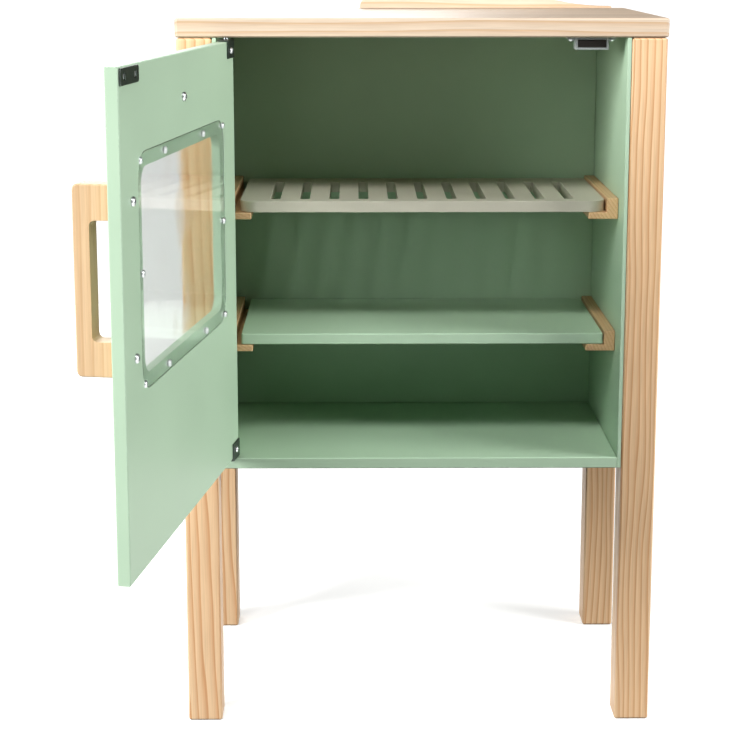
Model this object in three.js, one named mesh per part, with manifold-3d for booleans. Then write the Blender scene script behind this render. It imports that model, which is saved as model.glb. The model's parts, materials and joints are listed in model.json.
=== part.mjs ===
// Play-kitchen oven unit: a pine frame and worktop round a painted oven box with a swinging door.
// Millimetres. X runs to the right and Y to the back as seen from the front, and Z is up.
// The frame is drawn about the middle of its front plane at floor level, and at the end the whole
// unit is moved so that its origin is the middle of the bottom of its bounding box.

import * as THREE from "three";
import { mergeVertices } from "three/addons/utils/BufferGeometryUtils.js";
import Module from "manifold-3d";

const wasm = await Module();
wasm.setup();

// ---- Driving dimensions -----------------------------------------------------------------------

const GAP = 0.3; // left between pieces that touch

// Pine frame and worktop
const FRAME_WIDTH = 386;
const FRAME_DEPTH = 242;
const WORKTOP_HEIGHT = 585;
const WORKTOP_THICKNESS = 15;
const WORKTOP_OVERHANG = 1;
const WORKTOP_CORNER = 3;
const WORKTOP_ARRIS = 1.2;
const LEG_SIZE = 28;
const LEG_ARRIS = 1.2;
const LEG_END_CHAMFER = 3;
const DOWEL_RADIUS = 4;
const DOWEL_LENGTH = 22;
const DOWEL_INTO_TOP = 9;

// Low upstand board along the back of the worktop
const UPSTAND_THICKNESS = 14;
const UPSTAND_LENGTH = 228;
const UPSTAND_END_GAP = 14; // its right end to the right edge of the worktop
const UPSTAND_HEIGHT = 9; // at the rounded left end
const UPSTAND_CREST = 12.5; // at the highest point
const UPSTAND_SWEEP = 88; // right end to the crest
const UPSTAND_TIP = 1.5; // height left at the thin right end

// Painted boards of the oven box
const BOARD = 9;
const SIDE_BOARD = 3;
const SIDE_BOARD_SETBACK = 0.5; // from the front and back of the frame
const BOX_HEIGHT = 341.2; // oven floor to the underside of the worktop
const BACK_RECESS = 52; // outer face of the back board to the back of the frame
const BOARD_ARRIS = 0.6;

// Shelves and the rails they slide on
const SHELF_THICKNESS = 9;
const SHELF_SETBACK = 29;
const SHELF_PLAY = 0.65; // to the wall of the right rail
const SHELF_DOOR_GAP = 0.2; // the open door's corner to the shelves' left edge
const RACK_BACK_GAP = 4;
const RACK_DROP = 133.5; // worktop's underside to the rack's top
const TRAY_DROP = 243.5; // worktop's underside to the tray's top
const RACK_FRONT_RADIUS = 14;
const RACK_BACK_RADIUS = 3;
const TRAY_RADIUS = 2;
const SLOT_COUNT = 11;
const SLOT_WIDTH = 8.2;
const SLOT_SIDE_MARGIN = 28.5; // shelf's edge to the middle of the first slot
const SLOT_FRONT_MARGIN = 14.5;
const SLOT_BACK_MARGIN = 25;
const SLOT_RADIUS = 2.4;
const RAIL_WIDTH = 24;
const RAIL_HEIGHT = 17;
const RAIL_LIP = 5.4;
const RAIL_WALL = 9;
const RAIL_SETBACK = 28;
const RAIL_BACK_GAP = 2;
const RAIL_ARRIS = 0.5;

// Door, in its own frame: X from the pivot axis along the door, Y through its thickness
const DOOR_OPEN = 99; // degrees from closed, as the unit stands
const DOOR_HINGE_GAP = 1.8;
const DOOR_FREE_GAP = 1.5;
const DOOR_TOP_GAP = 2.8;
const DOOR_BOTTOM_GAP = 2.2;
const SWING_CLEARANCE = 0.975; // side board to the door's hinge edge as it swings past
const HINGE_STILE = 47; // door's hinge edge to the window
const FREE_STILE = 50.1; // window to the door's free edge
const WINDOW_DROP = 68.2; // door's top edge to the window
const WINDOW_HEIGHT = 138;
const WINDOW_RADIUS = 12;
const REBATE_BORDER = 10.5;
const REBATE_RADIUS = 18;
const REBATE_DEPTH = 2.6;
const PANE_THICKNESS = 2;
const PANE_SCREW_SPREAD = 0.467; // inner screws, as a share of the way to the corner screws

// Handle
const HANDLE_HEIGHT = 126;
const HANDLE_REACH = 28.2;
const HANDLE_GRIP = 11;
const HANDLE_ARM = 23.4;
const HANDLE_THICKNESS = 16;
const HANDLE_RADIUS = 3.5;
const HANDLE_FROM_EDGE = 24.8; // middle of the handle to the free edge of the door
const HANDLE_DROP = 138.2; // door's top edge to the middle of the handle

// Knob on the front of the door
const KNOB_RADIUS = 17;
const KNOB_BASE = 9;
const KNOB_ROUND = 2.5; // rounding of the disc's front edge
const KNOB_ARRIS = 1; // easing of its back edge
const KNOB_GRIP_HEIGHT = 10;
const KNOB_GRIP_WIDTH = 9;
const KNOB_GRIP_LENGTH = 29;
const KNOB_GRIP_RADIUS = 4;
const KNOB_BELOW_TOP = 31;

// Pivot hinges
const PIN_RADIUS = 2;
const PIN_IN_DOOR = 7;
const PIN_IN_FRAME = 6;
const PIN_CLEARANCE = 0.15;
const BUSH_RADIUS = 4;
const BUSH_END = 1; // the bush runs this far past the pin
const BRACKET_THICKNESS = 1;
const BRACKET_LENGTH = 21;
const BRACKET_HEIGHT = 13;
const BRACKET_EDGE = 1.5;
const BRACKET_SCREW_ALONG = 13; // bracket's hinge end to its screw
const BRACKET_SCREW_DOWN = 7.1; // door's end edge to the screw

// Magnetic catch and strike plate
const CATCH_OFFSET = 3.5; // the catch's middle lies this far to the left of the strike plate's
const CATCH_TAB_WIDTH = 38.5;
const CATCH_TAB_THICKNESS = 2;
const CATCH_WIDTH = 26.3;
const CATCH_HEIGHT = 10;
const CATCH_DEPTH = 14;
const CATCH_WALL = 1.8;
const CATCH_TAB_DEPTH = 10;
const STRIKE_LENGTH = 41.5;
const STRIKE_WIDTH = 11;
const STRIKE_THICKNESS = 1.2;
const STRIKE_FROM_EDGE = 1;
const STRIKE_SCREW_PITCH = 26;
const STRIKE_CORNER = 2;
const CATCH_CLEARANCE = 0.6;

// Screws: head radius, head height, shank radius and shank length
const PANE_SCREW = { head: 2.6, height: 1.7, shank: 1.2, length: 7 };
const HANDLE_SCREW = { head: 3.4, height: 2, shank: 1.7, length: 24 };
const KNOB_SCREW = { head: 3.4, height: 2, shank: 1.7, length: 20 };
const BRACKET_SCREW = { head: 2.6, height: 1.5, shank: 1.2, length: 6.5 };
const CATCH_SCREW = { head: 2.5, height: 1.4, shank: 1.2, length: 9 };
const STRIKE_SCREW = { head: 2.2, height: 0.9, shank: 1.1, length: 5.5 };
const SCREW_CLEARANCE = 0.35; // between a shank and its hole
const OVERRUN = 1; // how far a cutter runs past the face that it opens

// ---- Sizes that follow from them --------------------------------------------------------------

const WORKTOP_UNDERSIDE = WORKTOP_HEIGHT - WORKTOP_THICKNESS;
const LEG_HEIGHT = WORKTOP_UNDERSIDE - GAP;
const LEG_X = FRAME_WIDTH / 2 - LEG_SIZE / 2;
const LEG_FRONT_Y = LEG_SIZE / 2;
const LEG_REAR_Y = FRAME_DEPTH - LEG_SIZE / 2;
const CAVITY_HALF = FRAME_WIDTH / 2 - LEG_SIZE - GAP - SIDE_BOARD; // to a side board's inner face
const FLOOR_TOP = WORKTOP_UNDERSIDE - BOX_HEIGHT;
const FLOOR_UNDERSIDE = FLOOR_TOP - BOARD;
const BACK_SETBACK = FRAME_DEPTH - BACK_RECESS - BOARD; // front plane to the back's inner face
// The door's hinge-edge corners swing on a circle, which has to miss the side board.
const SWING_LEAST = (BOARD ** 2 / 4 + DOOR_HINGE_GAP ** 2) / (2 * DOOR_HINGE_GAP);
const PIVOT_INSET = SWING_LEAST + SWING_CLEARANCE; // side board to the pivot axis
const SWING_RADIUS = Math.hypot(BOARD / 2, PIVOT_INSET - DOOR_HINGE_GAP);
const PIVOT_X = -CAVITY_HALF + PIVOT_INSET;
const BUSH_LENGTH = PIN_IN_FRAME + BUSH_END;
const PIVOT_Y = BOARD / 2;
const DOOR_HINGE_EDGE = DOOR_HINGE_GAP - PIVOT_INSET; // in the door's frame
const DOOR_FREE_EDGE = CAVITY_HALF - DOOR_FREE_GAP - PIVOT_X;
const SHELF_LEFT = PIVOT_X + SWING_RADIUS + SHELF_DOOR_GAP;
const SHELF_RIGHT = CAVITY_HALF - GAP - RAIL_WALL - SHELF_PLAY;
const SHELF_WIDTH = SHELF_RIGHT - SHELF_LEFT;
const SHELF_MIDDLE = (SHELF_LEFT + SHELF_RIGHT) / 2;
const TRAY_DEPTH = BACK_SETBACK - SHELF_SETBACK - RAIL_BACK_GAP;
const RACK_DEPTH = BACK_SETBACK - SHELF_SETBACK - RACK_BACK_GAP;
const RACK_TOP = WORKTOP_UNDERSIDE - RACK_DROP;
const TRAY_TOP = WORKTOP_UNDERSIDE - TRAY_DROP;
const DOOR_BOTTOM = FLOOR_TOP + DOOR_BOTTOM_GAP;
const DOOR_TOP = WORKTOP_UNDERSIDE - DOOR_TOP_GAP;
const DOOR_OUTER = -BOARD / 2;
const DOOR_INNER = BOARD / 2;
const WINDOW_WIDTH = DOOR_FREE_EDGE - DOOR_HINGE_EDGE - HINGE_STILE - FREE_STILE;
const WINDOW_X = DOOR_HINGE_EDGE + HINGE_STILE + WINDOW_WIDTH / 2;
const WINDOW_MIDDLE = DOOR_TOP - WINDOW_DROP - WINDOW_HEIGHT / 2;
const KNOB_X = (DOOR_HINGE_EDGE + DOOR_FREE_EDGE) / 2;
const KNOB_Z = DOOR_TOP - KNOB_BELOW_TOP;
const HANDLE_X = DOOR_FREE_EDGE - HANDLE_FROM_EDGE;
const HANDLE_MIDDLE = DOOR_TOP - HANDLE_DROP;
const HANDLE_SCREW_Z = (HANDLE_HEIGHT - HANDLE_ARM) / 2; // above and below the handle's middle
const STRIKE_X = DOOR_FREE_EDGE - STRIKE_FROM_EDGE - STRIKE_LENGTH / 2;
const STRIKE_Z = DOOR_TOP - STRIKE_FROM_EDGE - STRIKE_WIDTH / 2;
const CATCH_X = PIVOT_X + STRIKE_X - CATCH_OFFSET; // where the strike plate meets it
const CATCH_FRONT = BOARD + GAP + STRIKE_THICKNESS + CATCH_CLEARANCE;

// ---- Finishes ---------------------------------------------------------------------------------

const finish = (color, roughness, metalness = 0) => {
  return new THREE.MeshStandardMaterial({ color, roughness, metalness });
};
const PINE = finish(0xe6c49a, 0.6);
const BEECH = finish(0xe3bd8e, 0.55);
const MINT = finish(0xa9c6ae, 0.55);
const GREY = finish(0xa8a594, 0.6);
const STEEL = finish(0xc9cdd0, 0.3, 1);
const DARK_STEEL = finish(0x3a3d3b, 0.45, 1);
const NYLON = finish(0x9aa0a0, 0.5);
const MAGNET = finish(0x22211f, 0.5, 0.4);
const ACRYLIC = finish(0xdfe5e4, 0.1);
ACRYLIC.transparent = true;
ACRYLIC.opacity = 0.3;

// ---- Solids -----------------------------------------------------------------------------------

// A closed three.js geometry as a solid that can be joined and cut.
function solid(geometry) {
  const bare = geometry.index ? geometry.toNonIndexed() : geometry.clone();
  bare.deleteAttribute("normal");
  bare.deleteAttribute("uv");
  const merged = mergeVertices(bare, 1e-4);
  return new wasm.Manifold(
    new wasm.Mesh({
      numProp: 3,
      vertProperties: new Float32Array(merged.attributes.position.array),
      triVerts: new Uint32Array(merged.index.array),
    })
  );
}

// The same solid as a geometry with flat faces.
function geometryOf(piece) {
  const data = piece.getMesh();
  const points = new Float32Array(data.numVert * 3);
  for (let i = 0; i < data.numVert; i++) {
    for (let k = 0; k < 3; k++) {
      points[3 * i + k] = data.vertProperties[data.numProp * i + k];
    }
  }
  const geometry = new THREE.BufferGeometry();
  geometry.setAttribute("position", new THREE.BufferAttribute(points, 3));
  geometry.setIndex(new THREE.BufferAttribute(new Uint32Array(data.triVerts), 1));
  const flat = geometry.toNonIndexed();
  flat.computeVertexNormals();
  return flat;
}

// Takes every cutter away from a piece.
function cut(piece, cutters) {
  let rest = piece;
  for (const cutter of cutters) {
    rest = rest.subtract(cutter);
  }
  return rest;
}

// A rectangle about the origin. radii are those of the lower left, lower right, upper right and
// upper left corners.
function rectangle(width, height, radii, segments = 4) {
  const [a, b, c, d] = Array.isArray(radii) ? radii : [radii, radii, radii, radii];
  const x = width / 2;
  const y = height / 2;
  const corners = [
    [-x + a, -y + a, a, Math.PI],
    [x - b, -y + b, b, 1.5 * Math.PI],
    [x - c, y - c, c, 0],
    [-x + d, y - d, d, 0.5 * Math.PI],
  ];
  const points = [];
  for (const [cx, cy, radius, start] of corners) {
    const steps = radius > 0 ? segments : 0;
    for (let i = 0; i <= steps; i++) {
      const angle = start + (0.5 * Math.PI * i) / Math.max(steps, 1);
      points.push(new THREE.Vector2(cx + radius * Math.cos(angle), cy + radius * Math.sin(angle)));
    }
  }
  return new THREE.Shape(points);
}

// A board of a given outline lying flat, with its lower face at z = 0 and its edges eased.
function board(shape, thickness, arris = 0, curveSegments = 8) {
  const options = { depth: thickness, bevelEnabled: false, curveSegments };
  if (arris > 0) {
    options.depth = thickness - 2 * arris;
    options.bevelEnabled = true;
    options.bevelThickness = arris;
    options.bevelSize = arris;
    options.bevelOffset = -arris;
    options.bevelSegments = 1;
  }
  const geometry = new THREE.ExtrudeGeometry(shape, options);
  geometry.translate(0, 0, arris);
  return geometry;
}

// Stands a flat board up: its outline's Y becomes Z and its thickness runs from y = 0 to the back.
function upright(geometry, thickness) {
  geometry.rotateX(Math.PI / 2);
  geometry.translate(0, thickness, 0);
  return geometry;
}

// A round bar from one point, along an axis.
const AXES = { x: [0, 0, -Math.PI / 2], y: [0, 0, 0], z: [Math.PI / 2, 0, 0] };
function bar(radius, length, axis, [x, y, z], segments = 16) {
  const geometry = new THREE.CylinderGeometry(radius, radius, length, segments);
  geometry.translate(0, length / 2, 0);
  geometry.rotateX(AXES[axis][0]);
  geometry.rotateZ(AXES[axis][2]);
  geometry.translate(x, y, z);
  return geometry;
}

function box(width, depth, height, [x, y, z]) {
  const geometry = new THREE.BoxGeometry(width, depth, height);
  geometry.translate(x + width / 2, y + depth / 2, z + height / 2);
  return geometry;
}

// A pan-head screw along -Y: the head's flat lies at y = 0 and the shank points to the front.
function screwGeometry({ head, height, shank, length }) {
  const profile = [
    [0, height],
    [0.55 * head, 0.93 * height],
    [0.88 * head, 0.62 * height],
    [head, 0.2 * height],
    [head, 0],
    [shank, 0],
    [shank, -length + shank],
    [0, -length],
  ];
  const points = profile.map(([radius, y]) => new THREE.Vector2(radius, y)).reverse();
  return new THREE.LatheGeometry(points, 14);
}

// The hole that a screw's shank runs in, deeper than the shank by a gap.
function screwHole(screw, x, y, z) {
  const length = screw.length + 2 * GAP;
  return solid(bar(screw.shank + SCREW_CLEARANCE, length, "y", [x, y - length, z], 12));
}

// ---- Scene graph ------------------------------------------------------------------------------

const unit = new THREE.Group();
const door = new THREE.Group();
door.position.set(PIVOT_X, PIVOT_Y, 0);
door.rotation.z = THREE.MathUtils.degToRad(-DOOR_OPEN);
unit.add(door);

function add(parent, name, geometry, material, position = [0, 0, 0]) {
  const mesh = new THREE.Mesh(geometry, material);
  mesh.name = name;
  mesh.position.set(...position);
  parent.add(mesh);
  return mesh;
}

// ---- Pine frame -------------------------------------------------------------------------------

const LEG_PLACES = {
  leg_front_left: [-LEG_X, LEG_FRONT_Y],
  leg_front_right: [LEG_X, LEG_FRONT_Y],
  leg_rear_left: [-LEG_X, LEG_REAR_Y],
  leg_rear_right: [LEG_X, LEG_REAR_Y],
};

function dowelHole(length, [x, y, z]) {
  return solid(bar(DOWEL_RADIUS + GAP, length, "z", [x, y, z]));
}

function addLegs() {
  const outline = rectangle(LEG_SIZE, LEG_SIZE, LEG_ARRIS, 1);
  const options = {
    depth: LEG_HEIGHT - LEG_END_CHAMFER,
    bevelEnabled: true,
    bevelThickness: LEG_END_CHAMFER / 2,
    bevelSize: LEG_END_CHAMFER / 2,
    bevelOffset: -LEG_END_CHAMFER / 2,
    bevelSegments: 1,
  };
  const blank = new THREE.ExtrudeGeometry(outline, options);
  blank.translate(0, 0, LEG_END_CHAMFER / 2);
  const depth = DOWEL_LENGTH - DOWEL_INTO_TOP + GAP;
  const leg = cut(solid(blank), [dowelHole(depth + OVERRUN, [0, 0, LEG_HEIGHT - depth])]);
  for (const [name, [x, y]] of Object.entries(LEG_PLACES)) {
    add(unit, name, geometryOf(leg), PINE, [x, y, 0]);
    const dowel = bar(DOWEL_RADIUS, DOWEL_LENGTH, "z", [0, 0, 0], 12);
    const place = [x, y, WORKTOP_UNDERSIDE + DOWEL_INTO_TOP - DOWEL_LENGTH];
    add(unit, name.replace("leg", "dowel"), dowel, BEECH, place);
  }
}

function addWorktop() {
  const width = FRAME_WIDTH + 2 * WORKTOP_OVERHANG;
  const depth = FRAME_DEPTH + 2 * WORKTOP_OVERHANG;
  const blank = board(rectangle(width, depth, WORKTOP_CORNER), WORKTOP_THICKNESS, WORKTOP_ARRIS);
  blank.translate(0, FRAME_DEPTH / 2, WORKTOP_UNDERSIDE);
  const cutters = Object.values(LEG_PLACES).map(([x, y]) => {
    return dowelHole(DOWEL_INTO_TOP + GAP + OVERRUN, [x, y, WORKTOP_UNDERSIDE - OVERRUN]);
  });
  cutters.push(solid(bushHole(WORKTOP_UNDERSIDE - OVERRUN)));
  for (const x of catchScrewPlaces()) {
    const length = CATCH_SCREW.length - CATCH_TAB_THICKNESS + OVERRUN;
    const radius = CATCH_SCREW.shank + SCREW_CLEARANCE;
    const place = [x, CATCH_FRONT + CATCH_DEPTH / 2, WORKTOP_UNDERSIDE - OVERRUN];
    cutters.push(solid(bar(radius, length, "z", place, 12)));
  }
  add(unit, "worktop", geometryOf(cut(solid(blank), cutters)), PINE);
}

// The upstand's outline: a rounded left end, a nearly level top that rises gently to a crest, and
// a hollow sweep down to a thin end at the right.
function addUpstand() {
  const left = -UPSTAND_LENGTH; // X is measured from the right end
  const crest = -UPSTAND_SWEEP;
  const hollow = 0.55 * UPSTAND_SWEEP; // how far the sweep runs level before it rises
  const shoulder = 0.35 * UPSTAND_SWEEP; // how far the crest runs level on either side
  const shape = new THREE.Shape();
  shape.moveTo(left, 0);
  shape.lineTo(0, 0);
  shape.lineTo(0, UPSTAND_TIP);
  shape.bezierCurveTo(
    -hollow, UPSTAND_TIP,
    crest + shoulder, UPSTAND_CREST,
    crest, UPSTAND_CREST
  );
  shape.bezierCurveTo(
    crest - shoulder, UPSTAND_CREST,
    left + UPSTAND_SWEEP, UPSTAND_HEIGHT,
    left + UPSTAND_HEIGHT, UPSTAND_HEIGHT
  );
  shape.quadraticCurveTo(left, UPSTAND_HEIGHT, left, 0);
  const geometry = upright(board(shape, UPSTAND_THICKNESS, 0, 12), UPSTAND_THICKNESS);
  const x = FRAME_WIDTH / 2 + WORKTOP_OVERHANG - UPSTAND_END_GAP;
  const place = [x, FRAME_DEPTH - UPSTAND_THICKNESS, WORKTOP_HEIGHT + GAP];
  add(unit, "upstand", geometry, PINE, place);
}

// ---- Oven box ---------------------------------------------------------------------------------

function addBoxBoards() {
  const height = WORKTOP_UNDERSIDE - GAP - FLOOR_UNDERSIDE;
  const depth = FRAME_DEPTH - 2 * SIDE_BOARD_SETBACK;
  for (const [name, sign] of [["side_board_left", -1], ["side_board_right", 1]]) {
    const geometry = box(SIDE_BOARD, depth, height, [-SIDE_BOARD / 2, SIDE_BOARD_SETBACK, 0]);
    add(unit, name, geometry, MINT, [sign * (CAVITY_HALF + SIDE_BOARD / 2), 0, FLOOR_UNDERSIDE]);
  }
  const inside = 2 * (CAVITY_HALF - GAP);
  const floorDepth = BACK_SETBACK + BOARD;
  const floor = board(rectangle(inside, floorDepth, 0), BOARD, BOARD_ARRIS);
  floor.translate(0, floorDepth / 2, FLOOR_UNDERSIDE);
  const hole = solid(bushHole(FLOOR_TOP - BUSH_LENGTH - GAP));
  add(unit, "floor_board", geometryOf(cut(solid(floor), [hole])), MINT);
  const backHeight = WORKTOP_UNDERSIDE - FLOOR_TOP - 2 * GAP;
  const back = upright(board(rectangle(inside, backHeight, 0), BOARD, 0), BOARD);
  add(unit, "back_board", back, MINT, [0, BACK_SETBACK, FLOOR_TOP + GAP + backHeight / 2]);
}

// One rail: an L section, its wall against the side board and its lip under the shelf.
function railGeometry(sign, length) {
  const points = [
    [0, 0],
    [RAIL_WIDTH, 0],
    [RAIL_WIDTH, RAIL_LIP],
    [RAIL_WALL, RAIL_LIP],
    [RAIL_WALL, RAIL_HEIGHT],
    [0, RAIL_HEIGHT],
  ];
  const shape = new THREE.Shape(points.map(([x, z]) => new THREE.Vector2(sign * x, z)));
  return upright(board(shape, length, RAIL_ARRIS), length);
}

function addRails() {
  const length = BACK_SETBACK - RAIL_SETBACK - RAIL_BACK_GAP;
  for (const [shelf, top] of [["rack", RACK_TOP], ["tray", TRAY_TOP]]) {
    const foot = top - SHELF_THICKNESS - GAP - RAIL_LIP;
    for (const [side, sign] of [["left", 1], ["right", -1]]) {
      const x = -sign * (CAVITY_HALF - GAP);
      add(unit, `${shelf}_rail_${side}`, railGeometry(sign, length), BEECH, [x, RAIL_SETBACK, foot]);
    }
  }
}

// ---- Shelves ----------------------------------------------------------------------------------

function shelfBlank(radii, depth) {
  const blank = board(rectangle(SHELF_WIDTH, depth, radii), SHELF_THICKNESS, BOARD_ARRIS);
  blank.translate(0, depth / 2, 0);
  return blank;
}

function addShelves() {
  const front = RACK_FRONT_RADIUS;
  const back = RACK_BACK_RADIUS;
  const slotLength = RACK_DEPTH - SLOT_FRONT_MARGIN - SLOT_BACK_MARGIN;
  const pitch = (SHELF_WIDTH - 2 * SLOT_SIDE_MARGIN) / (SLOT_COUNT - 1);
  const slots = [];
  for (let i = 0; i < SLOT_COUNT; i++) {
    const outline = rectangle(SLOT_WIDTH, slotLength, SLOT_RADIUS, 2);
    const slot = board(outline, SHELF_THICKNESS + 2 * OVERRUN);
    const x = (i - (SLOT_COUNT - 1) / 2) * pitch;
    slot.translate(x, SLOT_FRONT_MARGIN + slotLength / 2, -OVERRUN);
    slots.push(solid(slot));
  }
  const rack = cut(solid(shelfBlank([front, front, back, back], RACK_DEPTH)), slots);
  const rackPlace = [SHELF_MIDDLE, SHELF_SETBACK, RACK_TOP - SHELF_THICKNESS];
  add(unit, "rack", geometryOf(rack), GREY, rackPlace);
  const trayPlace = [SHELF_MIDDLE, SHELF_SETBACK, TRAY_TOP - SHELF_THICKNESS];
  add(unit, "tray", shelfBlank(TRAY_RADIUS, TRAY_DEPTH), MINT, trayPlace);
}

// ---- Door -------------------------------------------------------------------------------------

const PANE_SCREW_X = (WINDOW_WIDTH + REBATE_BORDER) / 2; // from the window's middle
const PANE_SCREW_Z = (WINDOW_HEIGHT + REBATE_BORDER) / 2;

function paneScrewPlaces() {
  const inner = PANE_SCREW_SPREAD * PANE_SCREW_X;
  const across = [-PANE_SCREW_X, -inner, inner, PANE_SCREW_X];
  const places = [];
  for (const dx of across) {
    places.push([dx, PANE_SCREW_Z], [dx, -PANE_SCREW_Z]);
  }
  places.push([-PANE_SCREW_X, 0], [PANE_SCREW_X, 0]);
  return places.map(([dx, dz]) => [WINDOW_X + dx, WINDOW_MIDDLE + dz]);
}

function strikeScrewPlaces() {
  return [-1, 1].map((sign) => [STRIKE_X + (sign * STRIKE_SCREW_PITCH) / 2, STRIKE_Z]);
}

function bracketScrewPlaces() {
  const x = DOOR_HINGE_EDGE + BRACKET_EDGE + BRACKET_SCREW_ALONG;
  return [[x, DOOR_TOP - BRACKET_SCREW_DOWN], [x, DOOR_BOTTOM + BRACKET_SCREW_DOWN]];
}

// A window-shaped block through or part way through the door, centred on the window.
function windowBlock(border, radius, from, to) {
  const shape = rectangle(WINDOW_WIDTH + 2 * border, WINDOW_HEIGHT + 2 * border, radius, 6);
  const block = upright(board(shape, to - from), to - from);
  block.translate(WINDOW_X, from, WINDOW_MIDDLE);
  return block;
}

function addDoorPanel() {
  const width = DOOR_FREE_EDGE - DOOR_HINGE_EDGE;
  const height = DOOR_TOP - DOOR_BOTTOM;
  const blank = upright(board(rectangle(width, height, 0), BOARD, BOARD_ARRIS), BOARD);
  blank.translate(DOOR_HINGE_EDGE + width / 2, DOOR_OUTER, DOOR_BOTTOM + height / 2);
  const rebateFloor = DOOR_INNER - REBATE_DEPTH;
  const cutters = [
    solid(windowBlock(0, WINDOW_RADIUS, DOOR_OUTER - OVERRUN, DOOR_INNER + OVERRUN)),
    solid(windowBlock(REBATE_BORDER, REBATE_RADIUS, rebateFloor, DOOR_INNER + OVERRUN)),
  ];
  for (const [x, z] of paneScrewPlaces()) {
    cutters.push(screwHole(PANE_SCREW, x, DOOR_INNER, z));
  }
  for (const [x, z] of strikeScrewPlaces()) {
    cutters.push(screwHole(STRIKE_SCREW, x, DOOR_INNER + OVERRUN, z));
  }
  for (const [x, z] of bracketScrewPlaces()) {
    cutters.push(screwHole(BRACKET_SCREW, x, DOOR_INNER + BRACKET_THICKNESS, z));
  }
  for (const z of [HANDLE_MIDDLE - HANDLE_SCREW_Z, HANDLE_MIDDLE + HANDLE_SCREW_Z]) {
    cutters.push(screwHole(HANDLE_SCREW, HANDLE_X, DOOR_INNER + OVERRUN, z));
  }
  cutters.push(screwHole(KNOB_SCREW, KNOB_X, DOOR_INNER + OVERRUN, KNOB_Z));
  const pinHole = PIN_IN_DOOR + GAP;
  for (const foot of [DOOR_TOP - pinHole, DOOR_BOTTOM - OVERRUN]) {
    cutters.push(solid(bar(PIN_RADIUS + GAP, pinHole + OVERRUN, "z", [0, 0, foot], 12)));
  }
  add(door, "door_panel", geometryOf(cut(solid(blank), cutters)), MINT);
}

function addPane() {
  const face = DOOR_INNER - REBATE_DEPTH + GAP;
  const blank = windowBlock(REBATE_BORDER - GAP, REBATE_RADIUS - GAP, face, face + PANE_THICKNESS);
  const holes = paneScrewPlaces().map(([x, z]) => {
    return screwHole(PANE_SCREW, x, DOOR_INNER + OVERRUN, z);
  });
  add(door, "window_pane", geometryOf(cut(solid(blank), holes)), ACRYLIC);
  paneScrewPlaces().forEach(([x, z], i) => {
    const place = [x, face + PANE_THICKNESS + GAP, z];
    add(door, `pane_screw_${i + 1}`, screwGeometry(PANE_SCREW), STEEL, place);
  });
}

// Turns a flat board so that its X points out of the door's front, its Y up, and its thickness
// runs along the door, centred on the given place.
function edgeOn(geometry, thickness, x, z) {
  geometry.translate(0, 0, -thickness / 2);
  const out = new THREE.Vector3(0, -1, 0);
  const up = new THREE.Vector3(0, 0, 1);
  const along = new THREE.Vector3(-1, 0, 0);
  geometry.applyMatrix4(new THREE.Matrix4().makeBasis(out, up, along));
  geometry.translate(x, DOOR_OUTER - GAP, z);
  return geometry;
}

function addHandle() {
  const radii = [0, HANDLE_RADIUS, HANDLE_RADIUS, 0];
  const outline = rectangle(HANDLE_REACH, HANDLE_HEIGHT, radii, 3);
  const blank = board(outline, HANDLE_THICKNESS, BOARD_ARRIS);
  blank.translate(HANDLE_REACH / 2, 0, 0);
  edgeOn(blank, HANDLE_THICKNESS, HANDLE_X, HANDLE_MIDDLE);
  const reach = HANDLE_REACH - HANDLE_GRIP;
  const gapHeight = HANDLE_HEIGHT - 2 * HANDLE_ARM;
  const cutterThickness = HANDLE_THICKNESS + 2 * OVERRUN;
  const opening = board(rectangle(reach + OVERRUN, gapHeight, radii, 3), cutterThickness);
  opening.translate((reach - OVERRUN) / 2, 0, 0);
  edgeOn(opening, cutterThickness, HANDLE_X, HANDLE_MIDDLE);
  const cutters = [solid(opening)];
  for (const sign of [-1, 1]) {
    const z = HANDLE_MIDDLE + sign * HANDLE_SCREW_Z;
    cutters.push(screwHole(HANDLE_SCREW, HANDLE_X, DOOR_INNER + GAP, z));
    const name = sign > 0 ? "handle_screw_upper" : "handle_screw_lower";
    const place = [HANDLE_X, DOOR_INNER + GAP, z];
    add(door, name, screwGeometry(HANDLE_SCREW), STEEL, place);
  }
  add(door, "handle", geometryOf(cut(solid(blank), cutters)), BEECH);
}

// A turned disc with an upright grip bar across its face, drawn about its own turning axis.
function addKnob() {
  const points = [[0, 0], [KNOB_RADIUS - KNOB_ARRIS, 0], [KNOB_RADIUS, KNOB_ARRIS]];
  for (let i = 0; i <= 3; i++) {
    const angle = (i * Math.PI) / 6;
    const radius = KNOB_RADIUS - KNOB_ROUND + KNOB_ROUND * Math.cos(angle);
    points.push([radius, KNOB_BASE - KNOB_ROUND + KNOB_ROUND * Math.sin(angle)]);
  }
  points.push([0, KNOB_BASE]);
  const profile = points.map(([radius, y]) => new THREE.Vector2(radius, y));
  const disc = new THREE.LatheGeometry(profile, 32);
  const outline = rectangle(KNOB_GRIP_WIDTH, KNOB_GRIP_LENGTH, KNOB_GRIP_RADIUS, 3);
  const grip = board(outline, KNOB_GRIP_HEIGHT + OVERRUN, BOARD_ARRIS);
  grip.rotateX(-Math.PI / 2);
  grip.translate(0, KNOB_BASE - OVERRUN, 0);
  const depth = KNOB_SCREW.length - BOARD + OVERRUN;
  const hole = bar(KNOB_SCREW.shank + SCREW_CLEARANCE, depth, "y", [0, -OVERRUN, 0], 12);
  const knob = cut(solid(disc).add(solid(grip)), [solid(hole)]);
  const geometry = geometryOf(knob);
  geometry.rotateX(Math.PI);
  add(door, "knob", geometry, BEECH, [KNOB_X, DOOR_OUTER - 2 * GAP, KNOB_Z]);
  add(door, "knob_screw", screwGeometry(KNOB_SCREW), STEEL, [KNOB_X, DOOR_INNER + GAP, KNOB_Z]);
}

// ---- Pivot hinges -----------------------------------------------------------------------------

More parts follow.
